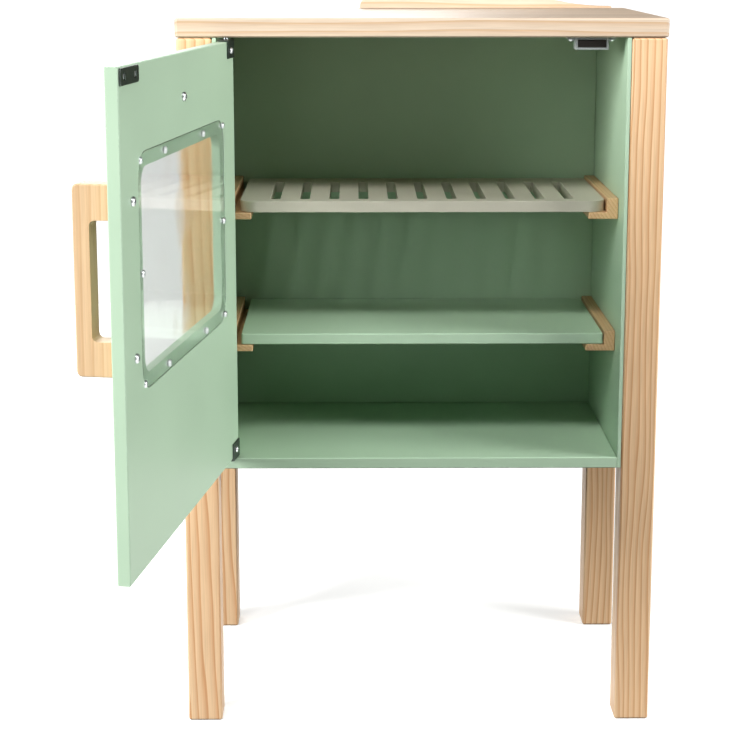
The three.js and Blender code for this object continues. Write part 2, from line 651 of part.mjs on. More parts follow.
// The hole for a bush, open at one end.
function bushHole(foot) {
  const length = BUSH_LENGTH + GAP + OVERRUN;
  return bar(BUSH_RADIUS + GAP, length, "z", [PIVOT_X, PIVOT_Y, foot]);
}

function bushGeometry() {
  const bore = PIN_RADIUS + PIN_CLEARANCE;
  const points = [
    [bore, 0],
    [BUSH_RADIUS, 0],
    [BUSH_RADIUS, BUSH_LENGTH],
    [bore, BUSH_LENGTH],
    [bore, 0],
  ].map(([radius, y]) => new THREE.Vector2(radius, y));
  const geometry = new THREE.LatheGeometry(points, 24);
  geometry.rotateX(Math.PI / 2);
  return geometry;
}

// An angle: a flange over the door's end edge, drilled for the pin, and a leaf on the inner face.
// end is 1 for the top of the door and -1 for the bottom.
function bracketGeometry(end) {
  const edge = end > 0 ? DOOR_TOP : DOOR_BOTTOM;
  const left = DOOR_HINGE_EDGE + BRACKET_EDGE;
  const flangeFoot = end > 0 ? edge + GAP : edge - GAP - BRACKET_THICKNESS;
  const flangeDepth = BOARD + GAP + BRACKET_THICKNESS - BRACKET_EDGE;
  const flange = box(BRACKET_LENGTH, flangeDepth, BRACKET_THICKNESS, [
    left, DOOR_OUTER + BRACKET_EDGE, flangeFoot,
  ]);
  const leafHeight = BRACKET_HEIGHT + GAP + BRACKET_THICKNESS;
  const leafFoot = end > 0 ? edge - BRACKET_HEIGHT : flangeFoot;
  const leaf = box(BRACKET_LENGTH, BRACKET_THICKNESS, leafHeight, [
    left, DOOR_INNER + GAP, leafFoot,
  ]);
  const pinHoleLength = BRACKET_THICKNESS + 2 * OVERRUN;
  const pinHoleFoot = flangeFoot - OVERRUN;
  const pinHole = bar(PIN_RADIUS + GAP, pinHoleLength, "z", [0, 0, pinHoleFoot], 12);
  const [x, z] = bracketScrewPlaces()[end > 0 ? 0 : 1];
  const leafFace = DOOR_INNER + GAP + BRACKET_THICKNESS;
  const screw = screwHole(BRACKET_SCREW, x, leafFace + OVERRUN, z);
  return geometryOf(cut(solid(flange).add(solid(leaf)), [solid(pinHole), screw]));
}

function addHinges() {
  const pinLength = { top: PIN_IN_DOOR + DOOR_TOP_GAP + PIN_IN_FRAME };
  pinLength.bottom = PIN_IN_DOOR + DOOR_BOTTOM_GAP + PIN_IN_FRAME;
  const bushFoot = { top: WORKTOP_UNDERSIDE, bottom: FLOOR_TOP - BUSH_LENGTH };
  const pinFoot = { top: DOOR_TOP - PIN_IN_DOOR, bottom: FLOOR_TOP - PIN_IN_FRAME };
  for (const [name, end] of [["top", 1], ["bottom", -1]]) {
    add(unit, `pivot_bush_${name}`, bushGeometry(), NYLON, [PIVOT_X, PIVOT_Y, bushFoot[name]]);
    const pin = bar(PIN_RADIUS, pinLength[name], "z", [0, 0, pinFoot[name]], 24);
    add(door, `pivot_pin_${name}`, pin, STEEL);
    add(door, `pivot_bracket_${name}`, bracketGeometry(end), DARK_STEEL);
    const [x, z] = bracketScrewPlaces()[end > 0 ? 0 : 1];
    const place = [x, DOOR_INNER + BRACKET_THICKNESS + 2 * GAP, z];
    add(door, `bracket_screw_${name}`, screwGeometry(BRACKET_SCREW), STEEL, place);
  }
}

// ---- Magnetic catch ---------------------------------------------------------------------------

function catchScrewPlaces() {
  const reach = (CATCH_TAB_WIDTH + CATCH_WIDTH) / 4;
  return [CATCH_X - reach, CATCH_X + reach];
}

function addCatch() {
  const top = WORKTOP_UNDERSIDE - GAP;
  const left = CATCH_X - CATCH_WIDTH / 2;
  const shell = box(CATCH_WIDTH, CATCH_DEPTH, CATCH_HEIGHT, [left, CATCH_FRONT, top - CATCH_HEIGHT]);
  const tabFront = CATCH_FRONT + (CATCH_DEPTH - CATCH_TAB_DEPTH) / 2;
  const tabs = box(CATCH_TAB_WIDTH, CATCH_TAB_DEPTH, CATCH_TAB_THICKNESS, [
    CATCH_X - CATCH_TAB_WIDTH / 2, tabFront, top - CATCH_TAB_THICKNESS,
  ]);
  const inside = CATCH_WIDTH - 2 * CATCH_WALL;
  const insideHeight = CATCH_HEIGHT - CATCH_WALL - CATCH_TAB_THICKNESS;
  const insideFoot = top - CATCH_HEIGHT + CATCH_WALL;
  const pocket = box(inside, CATCH_DEPTH - CATCH_WALL + OVERRUN, insideHeight, [
    CATCH_X - inside / 2, CATCH_FRONT - OVERRUN, insideFoot,
  ]);
  const cutters = [solid(pocket)];
  const y = CATCH_FRONT + CATCH_DEPTH / 2;
  catchScrewPlaces().forEach((x, i) => {
    const radius = CATCH_SCREW.shank + SCREW_CLEARANCE;
    const foot = top - CATCH_TAB_THICKNESS - OVERRUN;
    cutters.push(solid(bar(radius, CATCH_TAB_THICKNESS + 2 * OVERRUN, "z", [x, y, foot], 12)));
    const screw = screwGeometry(CATCH_SCREW);
    screw.rotateX(-Math.PI / 2);
    const place = [x, y, top - CATCH_TAB_THICKNESS - GAP];
    add(unit, `catch_screw_${i + 1}`, screw, STEEL, place);
  });
  add(unit, "catch_body", geometryOf(cut(solid(shell).add(solid(tabs)), cutters)), NYLON);
  const magnet = box(inside - 2 * GAP, CATCH_DEPTH - CATCH_WALL - GAP, insideHeight - 2 * GAP, [
    CATCH_X - inside / 2 + GAP, CATCH_FRONT, insideFoot + GAP,
  ]);
  add(unit, "catch_magnet", magnet, MAGNET);
}

function addStrike() {
  const outline = rectangle(STRIKE_LENGTH, STRIKE_WIDTH, STRIKE_CORNER, 3);
  const blank = upright(board(outline, STRIKE_THICKNESS), STRIKE_THICKNESS);
  blank.translate(STRIKE_X, DOOR_INNER + GAP, STRIKE_Z);
  const cutters = [];
  strikeScrewPlaces().forEach(([x, z], i) => {
    const radius = STRIKE_SCREW.head + GAP;
    const length = STRIKE_THICKNESS + GAP + 2 * OVERRUN;
    cutters.push(solid(bar(radius, length, "y", [x, DOOR_INNER - OVERRUN, z])));
    const place = [x, DOOR_INNER + GAP, z];
    add(door, `strike_screw_${i + 1}`, screwGeometry(STRIKE_SCREW), STEEL, place);
  });
  add(door, "strike_plate", geometryOf(cut(solid(blank), cutters)), DARK_STEEL);
}

// ---- The unit ---------------------------------------------------------------------------------

addLegs();
addWorktop();
addUpstand();
addBoxBoards();
addRails();
addShelves();
addDoorPanel();
addPane();
addHandle();
addKnob();
addHinges();
addCatch();
addStrike();

unit.updateMatrixWorld(true);
const bounds = new THREE.Box3().setFromObject(unit, true);
const middle = bounds.getCenter(new THREE.Vector3());
unit.position.set(-middle.x, -middle.y, -bounds.min.z);
unit.updateMatrixWorld(true);

export default unit;
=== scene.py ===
# %% [markdown]
# # A play-kitchen oven unit, finished in Blender
#
# The shapes, sizes and joints of this oven unit are already settled by an engineering model, which
# is loaded here as a fixed frame. This lesson gives each piece its real surface. Wood and painted
# board lose their knife-sharp edges, screws get a cross recess, and every material is built from
# nodes. Sizes are in metres, and `mm` turns the sizes that a maker thinks in into metres. A second
# helper puts a new object into the scene, as the camera, the lamps and the pieces all need it.

# %% Load the frame
import json
import math

import bmesh
import bpy
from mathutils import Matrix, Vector


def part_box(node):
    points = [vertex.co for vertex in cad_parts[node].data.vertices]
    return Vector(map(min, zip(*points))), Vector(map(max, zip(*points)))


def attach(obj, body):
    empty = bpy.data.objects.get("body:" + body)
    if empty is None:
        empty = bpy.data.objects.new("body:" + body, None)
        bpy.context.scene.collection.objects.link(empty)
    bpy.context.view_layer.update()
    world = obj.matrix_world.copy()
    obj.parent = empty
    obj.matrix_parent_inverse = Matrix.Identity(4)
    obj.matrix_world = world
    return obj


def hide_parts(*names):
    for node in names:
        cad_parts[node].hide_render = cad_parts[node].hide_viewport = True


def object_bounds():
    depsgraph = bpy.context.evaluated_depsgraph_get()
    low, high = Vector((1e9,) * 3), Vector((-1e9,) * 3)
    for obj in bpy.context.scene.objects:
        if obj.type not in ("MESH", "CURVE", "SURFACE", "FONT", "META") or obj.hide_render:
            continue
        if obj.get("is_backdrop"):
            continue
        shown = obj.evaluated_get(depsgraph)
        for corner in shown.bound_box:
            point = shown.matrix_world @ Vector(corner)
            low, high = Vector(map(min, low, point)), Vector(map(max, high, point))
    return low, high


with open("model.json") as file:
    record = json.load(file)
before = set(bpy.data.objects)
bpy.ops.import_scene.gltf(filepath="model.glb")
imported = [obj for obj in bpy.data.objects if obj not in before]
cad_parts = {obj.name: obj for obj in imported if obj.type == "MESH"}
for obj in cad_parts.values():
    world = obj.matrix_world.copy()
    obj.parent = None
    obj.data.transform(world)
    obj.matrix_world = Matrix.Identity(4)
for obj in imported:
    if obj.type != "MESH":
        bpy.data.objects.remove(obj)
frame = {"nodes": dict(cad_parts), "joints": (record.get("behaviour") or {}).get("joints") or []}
cad_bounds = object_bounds()


def mm(size):
    """A size in millimetres, as metres."""
    return size / 1000


def put_in_scene(name, data):
    """An object that holds the data, linked to the scene."""
    made = bpy.data.objects.new(name, data)
    bpy.context.scene.collection.objects.link(made)
    return made


print("pieces in the frame:", len(frame["nodes"]))
print("box of the frame, mm:", [round(1000 * side) for side in cad_bounds[1] - cad_bounds[0]])

# %% [markdown]
# ## A camera in front of the open door
#
# The unit is looked at from just above its worktop, about a metre and a half away, so that the top
# shows as a thin band and the shelves show their upper faces. Upright lines lean when a camera
# looks down. A small shift of the lens does part of the tilt's work: it moves the view down over
# the legs, so that the camera is tilted less and the lines lean less.

# %% Camera
top_low, top_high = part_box("worktop")
front = top_low.y
eye_distance = mm(1418)
eye_left = mm(34)
eye_above_top = mm(55)
aim_left = mm(22.9)
aim_below_top = mm(213.7)
eye = Vector((-eye_left, front - eye_distance, top_high.z + eye_above_top))
aim = Vector((-aim_left, front, top_high.z - aim_below_top))

camera = put_in_scene("camera", bpy.data.cameras.new("camera"))
camera.location = eye
camera.rotation_mode = "QUATERNION"
camera.rotation_quaternion = (aim - eye).to_track_quat("-Z", "Y")
camera.data.sensor_width = 36
camera.data.lens = 87.9
camera.data.shift_y = -0.11
camera.data.clip_start = mm(50)
camera.data.clip_end = 100
bpy.context.scene.camera = camera
print("camera to worktop, mm:", round(1000 * (front - eye.y)))

# %% [markdown]
# ## Helpers for colours and nodes
#
# Colours are written as sRGB hex values, as a colour picker gives them, but shaders work with
# linear light, so one function converts them. Node trees are built by a second function. It adds a
# node, changes its settings, and then fills its inputs: a socket is linked, and anything else is
# typed in as the input's value. A third starts each material from the same two nodes.

# %% Colour and node helpers
def linear(hex_colour):
    """An sRGB hex colour as red, green, blue and alpha in linear light."""
    channels = [int(hex_colour[i : i + 2], 16) / 255 for i in (1, 3, 5)]
    light = [c / 12.92 if c <= 0.04045 else ((c + 0.055) / 1.055) ** 2.4 for c in channels]
    return (*light, 1.0)


def add_node(tree, kind, settings=None, inputs=None):
    """A node of a kind, with its settings changed and its inputs linked or typed in."""
    node = tree.nodes.new(kind)
    for name, value in (settings or {}).items():
        setattr(node, name, value)
    for key, value in (inputs or {}).items():
        if isinstance(value, bpy.types.NodeSocket):
            tree.links.new(value, node.inputs[key])
        else:
            node.inputs[key].default_value = value
    return node


def new_material(name):
    """A material with a Principled shader, and a link from it to the output."""
    material = bpy.data.materials.new(name)
    material.use_nodes = True
    tree = material.node_tree
    tree.nodes.clear()
    shader = add_node(tree, "ShaderNodeBsdfPrincipled")
    add_node(tree, "ShaderNodeOutputMaterial", {}, {"Surface": shader.outputs["BSDF"]})
    return material, tree, shader


print("half grey in linear light:", [round(c, 3) for c in linear("#808080")])

# %% [markdown]
# ## A pale floor
#
# The unit stands on a disc of white paper. A studio lights such a sweep by itself until it is
# nearly white, which a weak glow of the paper stands in for. Its light isn't let back onto the
# unit, because it would fill the oven from below and flatten the shade on the shelves.

# %% Floor
floor_radius = 1.9
paper_glow = 0.28


def white_paper():
    """Uncoated white paper: bright, matte, and with a weak glow."""
    material, _, shader = new_material("white_paper")
    shader.inputs["Base Color"].default_value = linear("#F7F7F6")
    shader.inputs["Roughness"].default_value = 0.9
    shader.inputs["Emission Color"].default_value = linear("#FFFFFF")
    shader.inputs["Emission Strength"].default_value = paper_glow
    return material


bpy.ops.mesh.primitive_circle_add(vertices=96, radius=floor_radius, fill_type="NGON")
floor = bpy.context.object
floor.name = "studio_floor"
floor.data.materials.append(white_paper())
floor.visible_diffuse = False  # matte surfaces don't see its light
floor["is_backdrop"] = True
print("floor across, m:", round(floor.dimensions.x, 2))

# %% [markdown]
# ## Soft lamps
#
# Four softboxes light the unit. The left one is the key light for the fronts of the boards, and the
# open door keeps it out of the oven. The right one lights the inside of the door. A wide, high one
# reaches over the worktop's edge onto the shelves and the oven's floor, and the last one shows the
# back. The oven stays dim because no lamp stands in front of it at its own height.

# %% Softboxes
oven_middle = Vector((0, 0, 0.35))


def softbox(name, place, width, height, watts):
    """A rectangular lamp that faces the oven, with its place and size in metres."""
    lamp = bpy.data.lights.new(name, "AREA")
    lamp.shape = "RECTANGLE"
    lamp.size = width
    lamp.size_y = height
    lamp.energy = watts
    box = put_in_scene(name, lamp)
    box.location = place
    box.rotation_mode = "QUATERNION"
    box.rotation_quaternion = (oven_middle - box.location).to_track_quat("-Z", "Y")


softbox("left_softbox", (-2.35, -1.3, 1.25), 1.2, 1.3, 92)
softbox("right_softbox", (2.6, -0.8, 1.2), 1.2, 1.5, 72)
softbox("front_softbox", (-0.4, -1.8, 2.5), 1.5, 0.5, 40)
softbox("back_softbox", (-0.6, 2.6, 1.5), 1.8, 1.8, 30)

# %% [markdown]
# ## A white backdrop in a dim room
#
# Behind the unit hangs a lit, white backdrop, but the rest of a studio is dim, and it is the room
# that fills the oven with stray light. So the world has two parts: what is looked at, directly or
# through the pane, is white, and all other light from around is weak.

# %% Backdrop and room
stray_light = 0.02

world = bpy.data.worlds.new("studio")
world.use_nodes = True
air = world.node_tree
room = air.nodes["Background"]
room.inputs["Color"].default_value = linear("#E9ECEF")
room.inputs["Strength"].default_value = stray_light
sweep = add_node(air, "ShaderNodeBackground", {}, {"Color": linear("#FFFFFF"), "Strength": 1.0})
path = add_node(air, "ShaderNodeLightPath")
seen = add_node(
    air,
    "ShaderNodeMath",
    {"operation": "MAXIMUM"},
    {0: path.outputs["Is Camera Ray"], 1: path.outputs["Is Transmission Ray"]},
)
both = add_node(
    air,
    "ShaderNodeMixShader",
    {},
    {0: seen.outputs["Value"], 1: room.outputs["Background"], 2: sweep.outputs["Background"]},
)
air.links.new(both.outputs["Shader"], air.nodes["World Output"].inputs["Surface"])
bpy.context.scene.world = world
bpy.context.scene.view_settings.view_transform = "Standard"
bpy.context.scene.view_settings.look = "Medium High Contrast"
print("stray light:", stray_light)

# %% [markdown]
# ## Pine and beech
#
# A tree grows a pale, wide ring in spring and a thin, dark one in late summer, so planed pine shows
# amber lines a few millimetres apart. The rings are circles round the heart of the tree. A piece of
# wood is a straight cut through them, so the pattern is best made as a solid one: a ring wave round
# an axis that lies outside the piece, pushed about by slow noise that is stretched along the grain.
# The same pattern then gives lines on the faces and arcs on the end grain, as in real timber. Fine
# fibres are a second noise, drawn out forty times along the grain. They are really 0.1 mm wide, and
# are drawn wider here so that they show.

# %% Places in the timber
GRAIN_TURNS = {"x": (0, math.radians(90), 0), "y": (math.radians(90), 0, 0), "z": (0, 0, 0)}
NOISE_SPAN = {"From Min": 0.3, "From Max": 0.7}  # nearly all of a noise lies between these
FARTHEST_JUMP = 0.3  # metres along each axis, from one strip's place in the tree to another's


def in_staves(tree, place, width):
    """A panel is glued from strips, and each comes from another part of the tree."""
    parts = add_node(tree, "ShaderNodeSeparateXYZ", {}, {"Vector": place})
    count = add_node(
        tree, "ShaderNodeMath", {"operation": "DIVIDE"}, {0: parts.outputs["Y"], 1: width}
    )
    index = add_node(tree, "ShaderNodeMath", {"operation": "FLOOR"}, {0: count.outputs["Value"]})
    chance = add_node(
        tree, "ShaderNodeTexWhiteNoise", {"noise_dimensions": "1D"}, {"W": index.outputs["Value"]}
    )
    jump = add_node(
        tree,
        "ShaderNodeVectorMath",
        {"operation": "SCALE"},
        {0: chance.outputs["Color"], "Scale": FARTHEST_JUMP},
    )
    moved = add_node(
        tree, "ShaderNodeVectorMath", {"operation": "ADD"}, {0: place, 1: jump.outputs["Vector"]}
    )
    return moved.outputs["Vector"]


def stretched(tree, turned, along_grain):
    """Places squeezed along the grain, which draws a noise out by as much."""
    squeezed = add_node(
        tree, "ShaderNodeVectorMath", {"operation": "MULTIPLY"}, {0: turned, 1: (1, 1, along_grain)}
    )
    return squeezed.outputs["Vector"]


print("grain can run along:", list(GRAIN_TURNS))

# %% [markdown]
# ## Year rings
#
# The rings are pushed about by a slow noise, so that they wander as a trunk does. A curve then
# turns the even wave into a year's growth: it climbs slowly through the spring wood, reaches the
# dark late wood near the end, and drops sharply where growth stopped for the winter.

# %% Year rings
WAVE_PERIOD = math.pi / 10  # a wave texture of scale 1 repeats after this length


def year_rings(tree, turned, drawn_out, ring, wander, contrast):
    """How dark the year's growth is at each place: 0 in spring wood, up to 1 in late wood."""
    slow = add_node(
        tree,
        "ShaderNodeTexNoise",
        {},
        {"Vector": drawn_out, "Scale": 1 / mm(38), "Detail": 2.0, "Roughness": 0.45},
    )
    centred = add_node(
        tree,
        "ShaderNodeVectorMath",
        {"operation": "SUBTRACT"},
        {0: slow.outputs["Color"], 1: (0.5, 0.5, 0.5)},
    )
    push = add_node(
        tree,
        "ShaderNodeVectorMath",
        {"operation": "SCALE"},
        {0: centred.outputs["Vector"], "Scale": wander},
    )
    grown = add_node(
        tree, "ShaderNodeVectorMath", {"operation": "ADD"}, {0: turned, 1: push.outputs["Vector"]}
    )
    rings = add_node(
        tree,
        "ShaderNodeTexWave",
        {"wave_type": "RINGS", "rings_direction": "Z", "wave_profile": "SAW"},
        {"Vector": grown.outputs["Vector"], "Scale": WAVE_PERIOD / ring, "Distortion": 0.0},
    )
    years = add_node(
        tree, "ShaderNodeFloatCurve", {}, {"Factor": contrast, "Value": rings.outputs["Fac"]}
    )
    growth = years.mapping.curves[0]
    growth.points[0].location = (0.0, 0.0)
    growth.points[1].location = (1.0, 0.1)
    for time, darkness in ((0.45, 0.12), (0.8, 0.62), (0.93, 1.0)):
        growth.points.new(time, darkness)
    years.mapping.update()
    return years.outputs["Value"]


print("a 4 mm ring needs a wave scale of", round(WAVE_PERIOD / mm(4), 1))

# %% [markdown]
# ## Fibres and patches
#
# Two finer things are laid over the rings. Fibres are thin streaks, lighter and darker by a few
# percent, and they also raise the surface slightly, because the lacquer sinks between them. Patches
# as broad as a hand and several times as long make one part of a board a little darker than
# another.

# %% Fibres and patches
SLOW_STRETCH = 0.14  # slow noises are drawn out seven times along the grain
FIBRE_STRETCH = 0.025  # and fibres forty times


def fibres_and_tone(tree, turned, drawn_out):
    """A noise of fine fibres, and how much they and the patches lighten or darken the wood."""
    fibres = add_node(
        tree,
        "ShaderNodeTexNoise",
        {},
        {
            "Vector": stretched(tree, turned, FIBRE_STRETCH),
            "Scale": 1 / mm(1.1),
            "Detail": 3.0,
            "Roughness": 0.6,
        },
    ).outputs["Fac"]
    patches = add_node(
        tree, "ShaderNodeTexNoise", {}, {"Vector": drawn_out, "Scale": 1 / mm(70), "Detail": 1.0}
    ).outputs["Fac"]
    streaks = add_node(
        tree,
        "ShaderNodeMapRange",
        {},
        {**NOISE_SPAN, "Value": fibres, "To Min": 0.9, "To Max": 1.06},
    )
    drift = add_node(
        tree,
        "ShaderNodeMapRange",
        {},
        {**NOISE_SPAN, "Value": patches, "To Min": 0.92, "To Max": 1.06},
    )
    tone = add_node(
        tree,
        "ShaderNodeMath",
        {"operation": "MULTIPLY"},
        {0: streaks.outputs["Result"], 1: drift.outputs["Result"]},
    )
    return fibres, tone.outputs["Value"]


print("fibres and patches are ready")

# %% [markdown]
# ## Lacquered wood
#
# The recipe puts the three patterns together: rings give the two colours, fibres and patches change
# their tone, and the fibres also move the lacquer's gloss a little. The lacquer is a satin one.

# %% Lacquered wood
LACQUER_ROUGHNESS = 0.42


def wood(name, early, late, along, ring, heart, wander, contrast, staves=0.0):
    """Solid wood with its grain along an axis. early and late are the colours of spring wood and
    late wood, ring is the width of a year's growth, heart is where the middle of the tree lies
    across the grain, wander is how far the rings stray, contrast is how clearly they show, and
    staves is the width of the strips that a panel is glued from, or 0 for one plank."""
    material, tree, shader = new_material(name)
    place = add_node(tree, "ShaderNodeTexCoord").outputs["Object"]
    if staves:
        place = in_staves(tree, place, staves)
    turned = add_node(
        tree,
        "ShaderNodeMapping",
        {},
        {"Vector": place, "Rotation": GRAIN_TURNS[along], "Location": (*heart, 0)},
    ).outputs["Vector"]
    drawn_out = stretched(tree, turned, SLOW_STRETCH)
    years = year_rings(tree, turned, drawn_out, ring, wander, contrast)
    fibres, tone = fibres_and_tone(tree, turned, drawn_out)
    ringed = add_node(
        tree,
        "ShaderNodeMix",
        {"data_type": "RGBA"},
        {"Factor": years, "A": linear(early), "B": linear(late)},
    )
    colour = add_node(
        tree, "ShaderNodeVectorMath", {"operation": "SCALE"}, {0: ringed.outputs[2], "Scale": tone}
    )
    rough = add_node(
        tree,
        "ShaderNodeMapRange",
        {},
        {
            **NOISE_SPAN,
            "Value": fibres,
            "To Min": LACQUER_ROUGHNESS - 0.05,
            "To Max": LACQUER_ROUGHNESS + 0.07,
        },
    )
    bump = add_node(
        tree, "ShaderNodeBump", {}, {"Strength": 0.25, "Distance": mm(0.12), "Height": fibres}
    )
    tree.links.new(colour.outputs["Vector"], shader.inputs["Base Color"])
    tree.links.new(rough.outputs["Result"], shader.inputs["Roughness"])
    tree.links.new(bump.outputs["Normal"], shader.inputs["Normal"])
    return material


print("wood recipe is ready")

# %% [markdown]
# ## Four woods
#
# The legs are planed pine. The worktop is a glued pine panel, paler and sanded, with its grain from
# side to side. Handle, knob and shelf rails are beech, an even, pinkish-tan hardwood whose narrow
# rings hardly show, so its two colours lie close together.

# %% Pine and beech
# Lacquered pine: warm cream spring wood and amber late wood, under a satin lacquer.
leg_pine = wood(
    "lacquered_pine_legs", "#EACAA4", "#D2A176", "z", mm(3.9), (0.31, 0.21), mm(17), 0.8
)
# The worktop is a glued panel, sanded paler, with its grain from side to side.
top_pine = wood(
    "lacquered_pine_panel", "#D8C6B2", "#CDAF90", "x", mm(6.5), (0.11, 0.35), mm(10), 0.8, mm(61)
)
# Beech: an even, pinkish-tan hardwood whose rings hardly show.
handle_beech = wood(
    "lacquered_beech_upright", "#D9BB97", "#CDAA84", "z", mm(2.6), (0.24, 0.13), mm(5), 0.7
)
rail_beech = wood(
    "lacquered_beech_rails", "#D6B68E", "#C8A278", "y", mm(2.6), (0.24, 0.13), mm(5), 0.7
)
print("wood materials:", [m.name for m in (leg_pine, top_pine, handle_beech, rail_beech)])

# %% [markdown]
# ## Painted fibreboard
#
# The oven is made of fibreboard that is sealed, sprayed with satin paint and baked. Sprayed paint
# dries with a faint orange peel, a millimetre or two from dimple to dimple, and it draws back from
# sharp edges. The arrises are given a lighter colour, partly for that thinner paint and partly as a
# painted highlight where an edge catches the light. The edge is found with a Bevel node: where its
# rounded normal differs from the true one, the surface turns.

# %% Satin paint
def near_edges(tree):
    """How near a place is to an edge: 0 on a flat, rising within a millimetre of an arris."""
    true_normal = add_node(tree, "ShaderNodeNewGeometry").outputs["True Normal"]
    rounded = add_node(tree, "ShaderNodeBevel", {"samples": 4}, {"Radius": mm(0.9)})
    agreement = add_node(
        tree,
        "ShaderNodeVectorMath",
        {"operation": "DOT_PRODUCT"},
        {0: true_normal, 1: rounded.outputs["Normal"]},
    ).outputs["Value"]
    edge = add_node(
        tree,
        "ShaderNodeMapRange",
        {},
        {"Value": agreement, "From Min": 0.99, "From Max": 0.75, "To Min": 0.0, "To Max": 0.55},
    )
    return edge.outputs["Result"]


def satin_paint(name, hex_colour, thin_paint_and_highlight_colour, roughness):
    """Sprayed paint with orange peel, faint clouds of tone, and lighter edges: thinner paint and a
    painted highlight.
    """
    material, tree, shader = new_material(name)
    place = add_node(tree, "ShaderNodeTexCoord").outputs["Object"]
    cloud = add_node(
        tree, "ShaderNodeTexNoise", {}, {"Vector": place, "Scale": 1 / mm(90), "Detail": 2.0}
    ).outputs["Fac"]
    tone = add_node(
        tree,
        "ShaderNodeMapRange",
        {},
        {**NOISE_SPAN, "Value": cloud, "To Min": 0.975, "To Max": 1.02},
    ).outputs["Result"]
    # the lighter arris colour is partly thinner paint and partly a painted highlight
    paint_and_edge_highlight = add_node(
        tree,
        "ShaderNodeMix",
        {"data_type": "RGBA"},
        {"Factor": near_edges(tree), "A": linear(hex_colour), "B": linear(thin_paint_and_highlight_colour)},
    )
    colour = add_node(
        tree, "ShaderNodeVectorMath", {"operation": "SCALE"}, {0: paint_and_edge_highlight.outputs[2], "Scale": tone}
    ).outputs["Vector"]
    tree.links.new(colour, shader.inputs["Base Color"])
    peel = add_node(
        tree, "ShaderNodeTexNoise", {}, {"Vector": place, "Scale": 1 / mm(1.6), "Detail": 1.5}
    ).outputs["Fac"]
    rough = add_node(
        tree,
        "ShaderNodeMapRange",
        {},
        {**NOISE_SPAN, "Value": cloud, "To Min": roughness - 0.03, "To Max": roughness + 0.04},
    ).outputs["Result"]
    tree.links.new(rough, shader.inputs["Roughness"])
    bump = add_node(
        tree, "ShaderNodeBump", {}, {"Strength": 0.12, "Distance": mm(0.06), "Height": peel}
    ).outputs["Normal"]
    tree.links.new(bump, shader.inputs["Normal"])
    return material


# each second colour is the lighter arris colour: thinner paint and a painted highlight
mint_paint = satin_paint("mint_satin_paint", "#B7CFB6", "#C9DBC8", 0.46)
grey_paint = satin_paint("warm_grey_satin_paint", "#C2BFB0", "#D2CFC3", 0.5)
print("paints:", mint_paint.name, grey_paint.name)

# %% [markdown]
# ## Clear acrylic
#
# The window is extruded acrylic sheet. It lets nearly all light through and mirrors the rest, more
# at a flat angle, and the shader's transmission with acrylic's own refraction does both. Two small
# faults keep it from looking like air: fingers leave patches where the mirror is less sharp, and an
# extruded sheet is never quite flat.

# %% Clear acrylic
def clear_acrylic():
    """Clear sheet with acrylic's refraction, faint smears and a slow ripple."""
    material, tree, shader = new_material("clear_acrylic_sheet")
    place = add_node(tree, "ShaderNodeTexCoord").outputs["Object"]
    shader.inputs["Base Color"].default_value = linear("#F4F6F5")
    shader.inputs["Transmission Weight"].default_value = 1.0
    shader.inputs["IOR"].default_value = 1.49
    smears = add_node(
        tree, "ShaderNodeTexNoise", {}, {"Vector": place, "Scale": 1 / mm(35), "Detail": 3.0}
    ).outputs["Fac"]
    rough = add_node(
        tree,
        "ShaderNodeMapRange",
        {},
        {"Value": smears, "From Min": 0.45, "From Max": 0.7, "To Min": 0.02, "To Max": 0.09},
    ).outputs["Result"]
    tree.links.new(rough, shader.inputs["Roughness"])
    ripple = add_node(
        tree, "ShaderNodeTexNoise", {}, {"Vector": place, "Scale": 1 / mm(60), "Detail": 1.0}
    ).outputs["Fac"]
    bump = add_node(
        tree, "ShaderNodeBump", {}, {"Strength": 0.05, "Distance": mm(0.3), "Height": ripple}
    ).outputs["Normal"]
    tree.links.new(bump, shader.inputs["Normal"])
    return material


acrylic = clear_acrylic()
print("see-through material:", acrylic.name)

# %% [markdown]
# ## Steel, nylon and ferrite
#
# The small parts are plain in colour, but none is perfectly even. Zinc plating is a layer of fine
# crystals, a mould leaves its own grain on nylon, and ferrite is a pressed and fired powder. One
# recipe serves all of them: a fine noise moves the tone, the roughness and the surface a little.
# The grains are really finer, a tenth of a millimetre or less, and are drawn 0.4 to 0.8 mm wide so
# that they show.

# %% Metal and moulded plastic
def grained(name, hex_colour, metallic, roughness, grain, spread, depth):
    """A plain-coloured surface whose tone, roughness and bump follow a fine grain."""
    material, tree, shader = new_material(name)
    shader.inputs["Metallic"].default_value = metallic
    place = add_node(tree, "ShaderNodeTexCoord").outputs["Object"]
    speckle = add_node(
        tree, "ShaderNodeTexNoise", {}, {"Vector": place, "Scale": 1 / grain, "Detail": 3.0}
    ).outputs["Fac"]
    tone = add_node(
        tree,
        "ShaderNodeMapRange",
        {},
        {**NOISE_SPAN, "Value": speckle, "To Min": 0.9, "To Max": 1.08},
    )
    colour = add_node(
        tree,
        "ShaderNodeVectorMath",
        {"operation": "SCALE"},
        {0: linear(hex_colour)[:3], "Scale": tone.outputs["Result"]},
    )
    rough = add_node(
        tree,
        "ShaderNodeMapRange",
        {},
        {
            **NOISE_SPAN,
            "Value": speckle,
            "To Min": roughness - spread,
            "To Max": roughness + spread,
        },
    )
    bump = add_node(
        tree, "ShaderNodeBump", {}, {"Strength": 0.3, "Distance": depth, "Height": speckle}
    )
    tree.links.new(colour.outputs["Vector"], shader.inputs["Base Color"])
    tree.links.new(rough.outputs["Result"], shader.inputs["Roughness"])
    tree.links.new(bump.outputs["Normal"], shader.inputs["Normal"])
    return material


# Zinc-plated steel: a bluish-white metal, dulled by the crystals of the plating.
zinc_steel = grained("zinc_plated_steel", "#D9DCDE", 1.0, 0.36, mm(0.5), 0.07, mm(0.02))
# Black zinc on pressed steel: nearly black, with a soft metallic sheen.
black_steel = grained("black_zinc_steel", "#5A625D", 0.9, 0.4, mm(0.8), 0.06, mm(0.03))
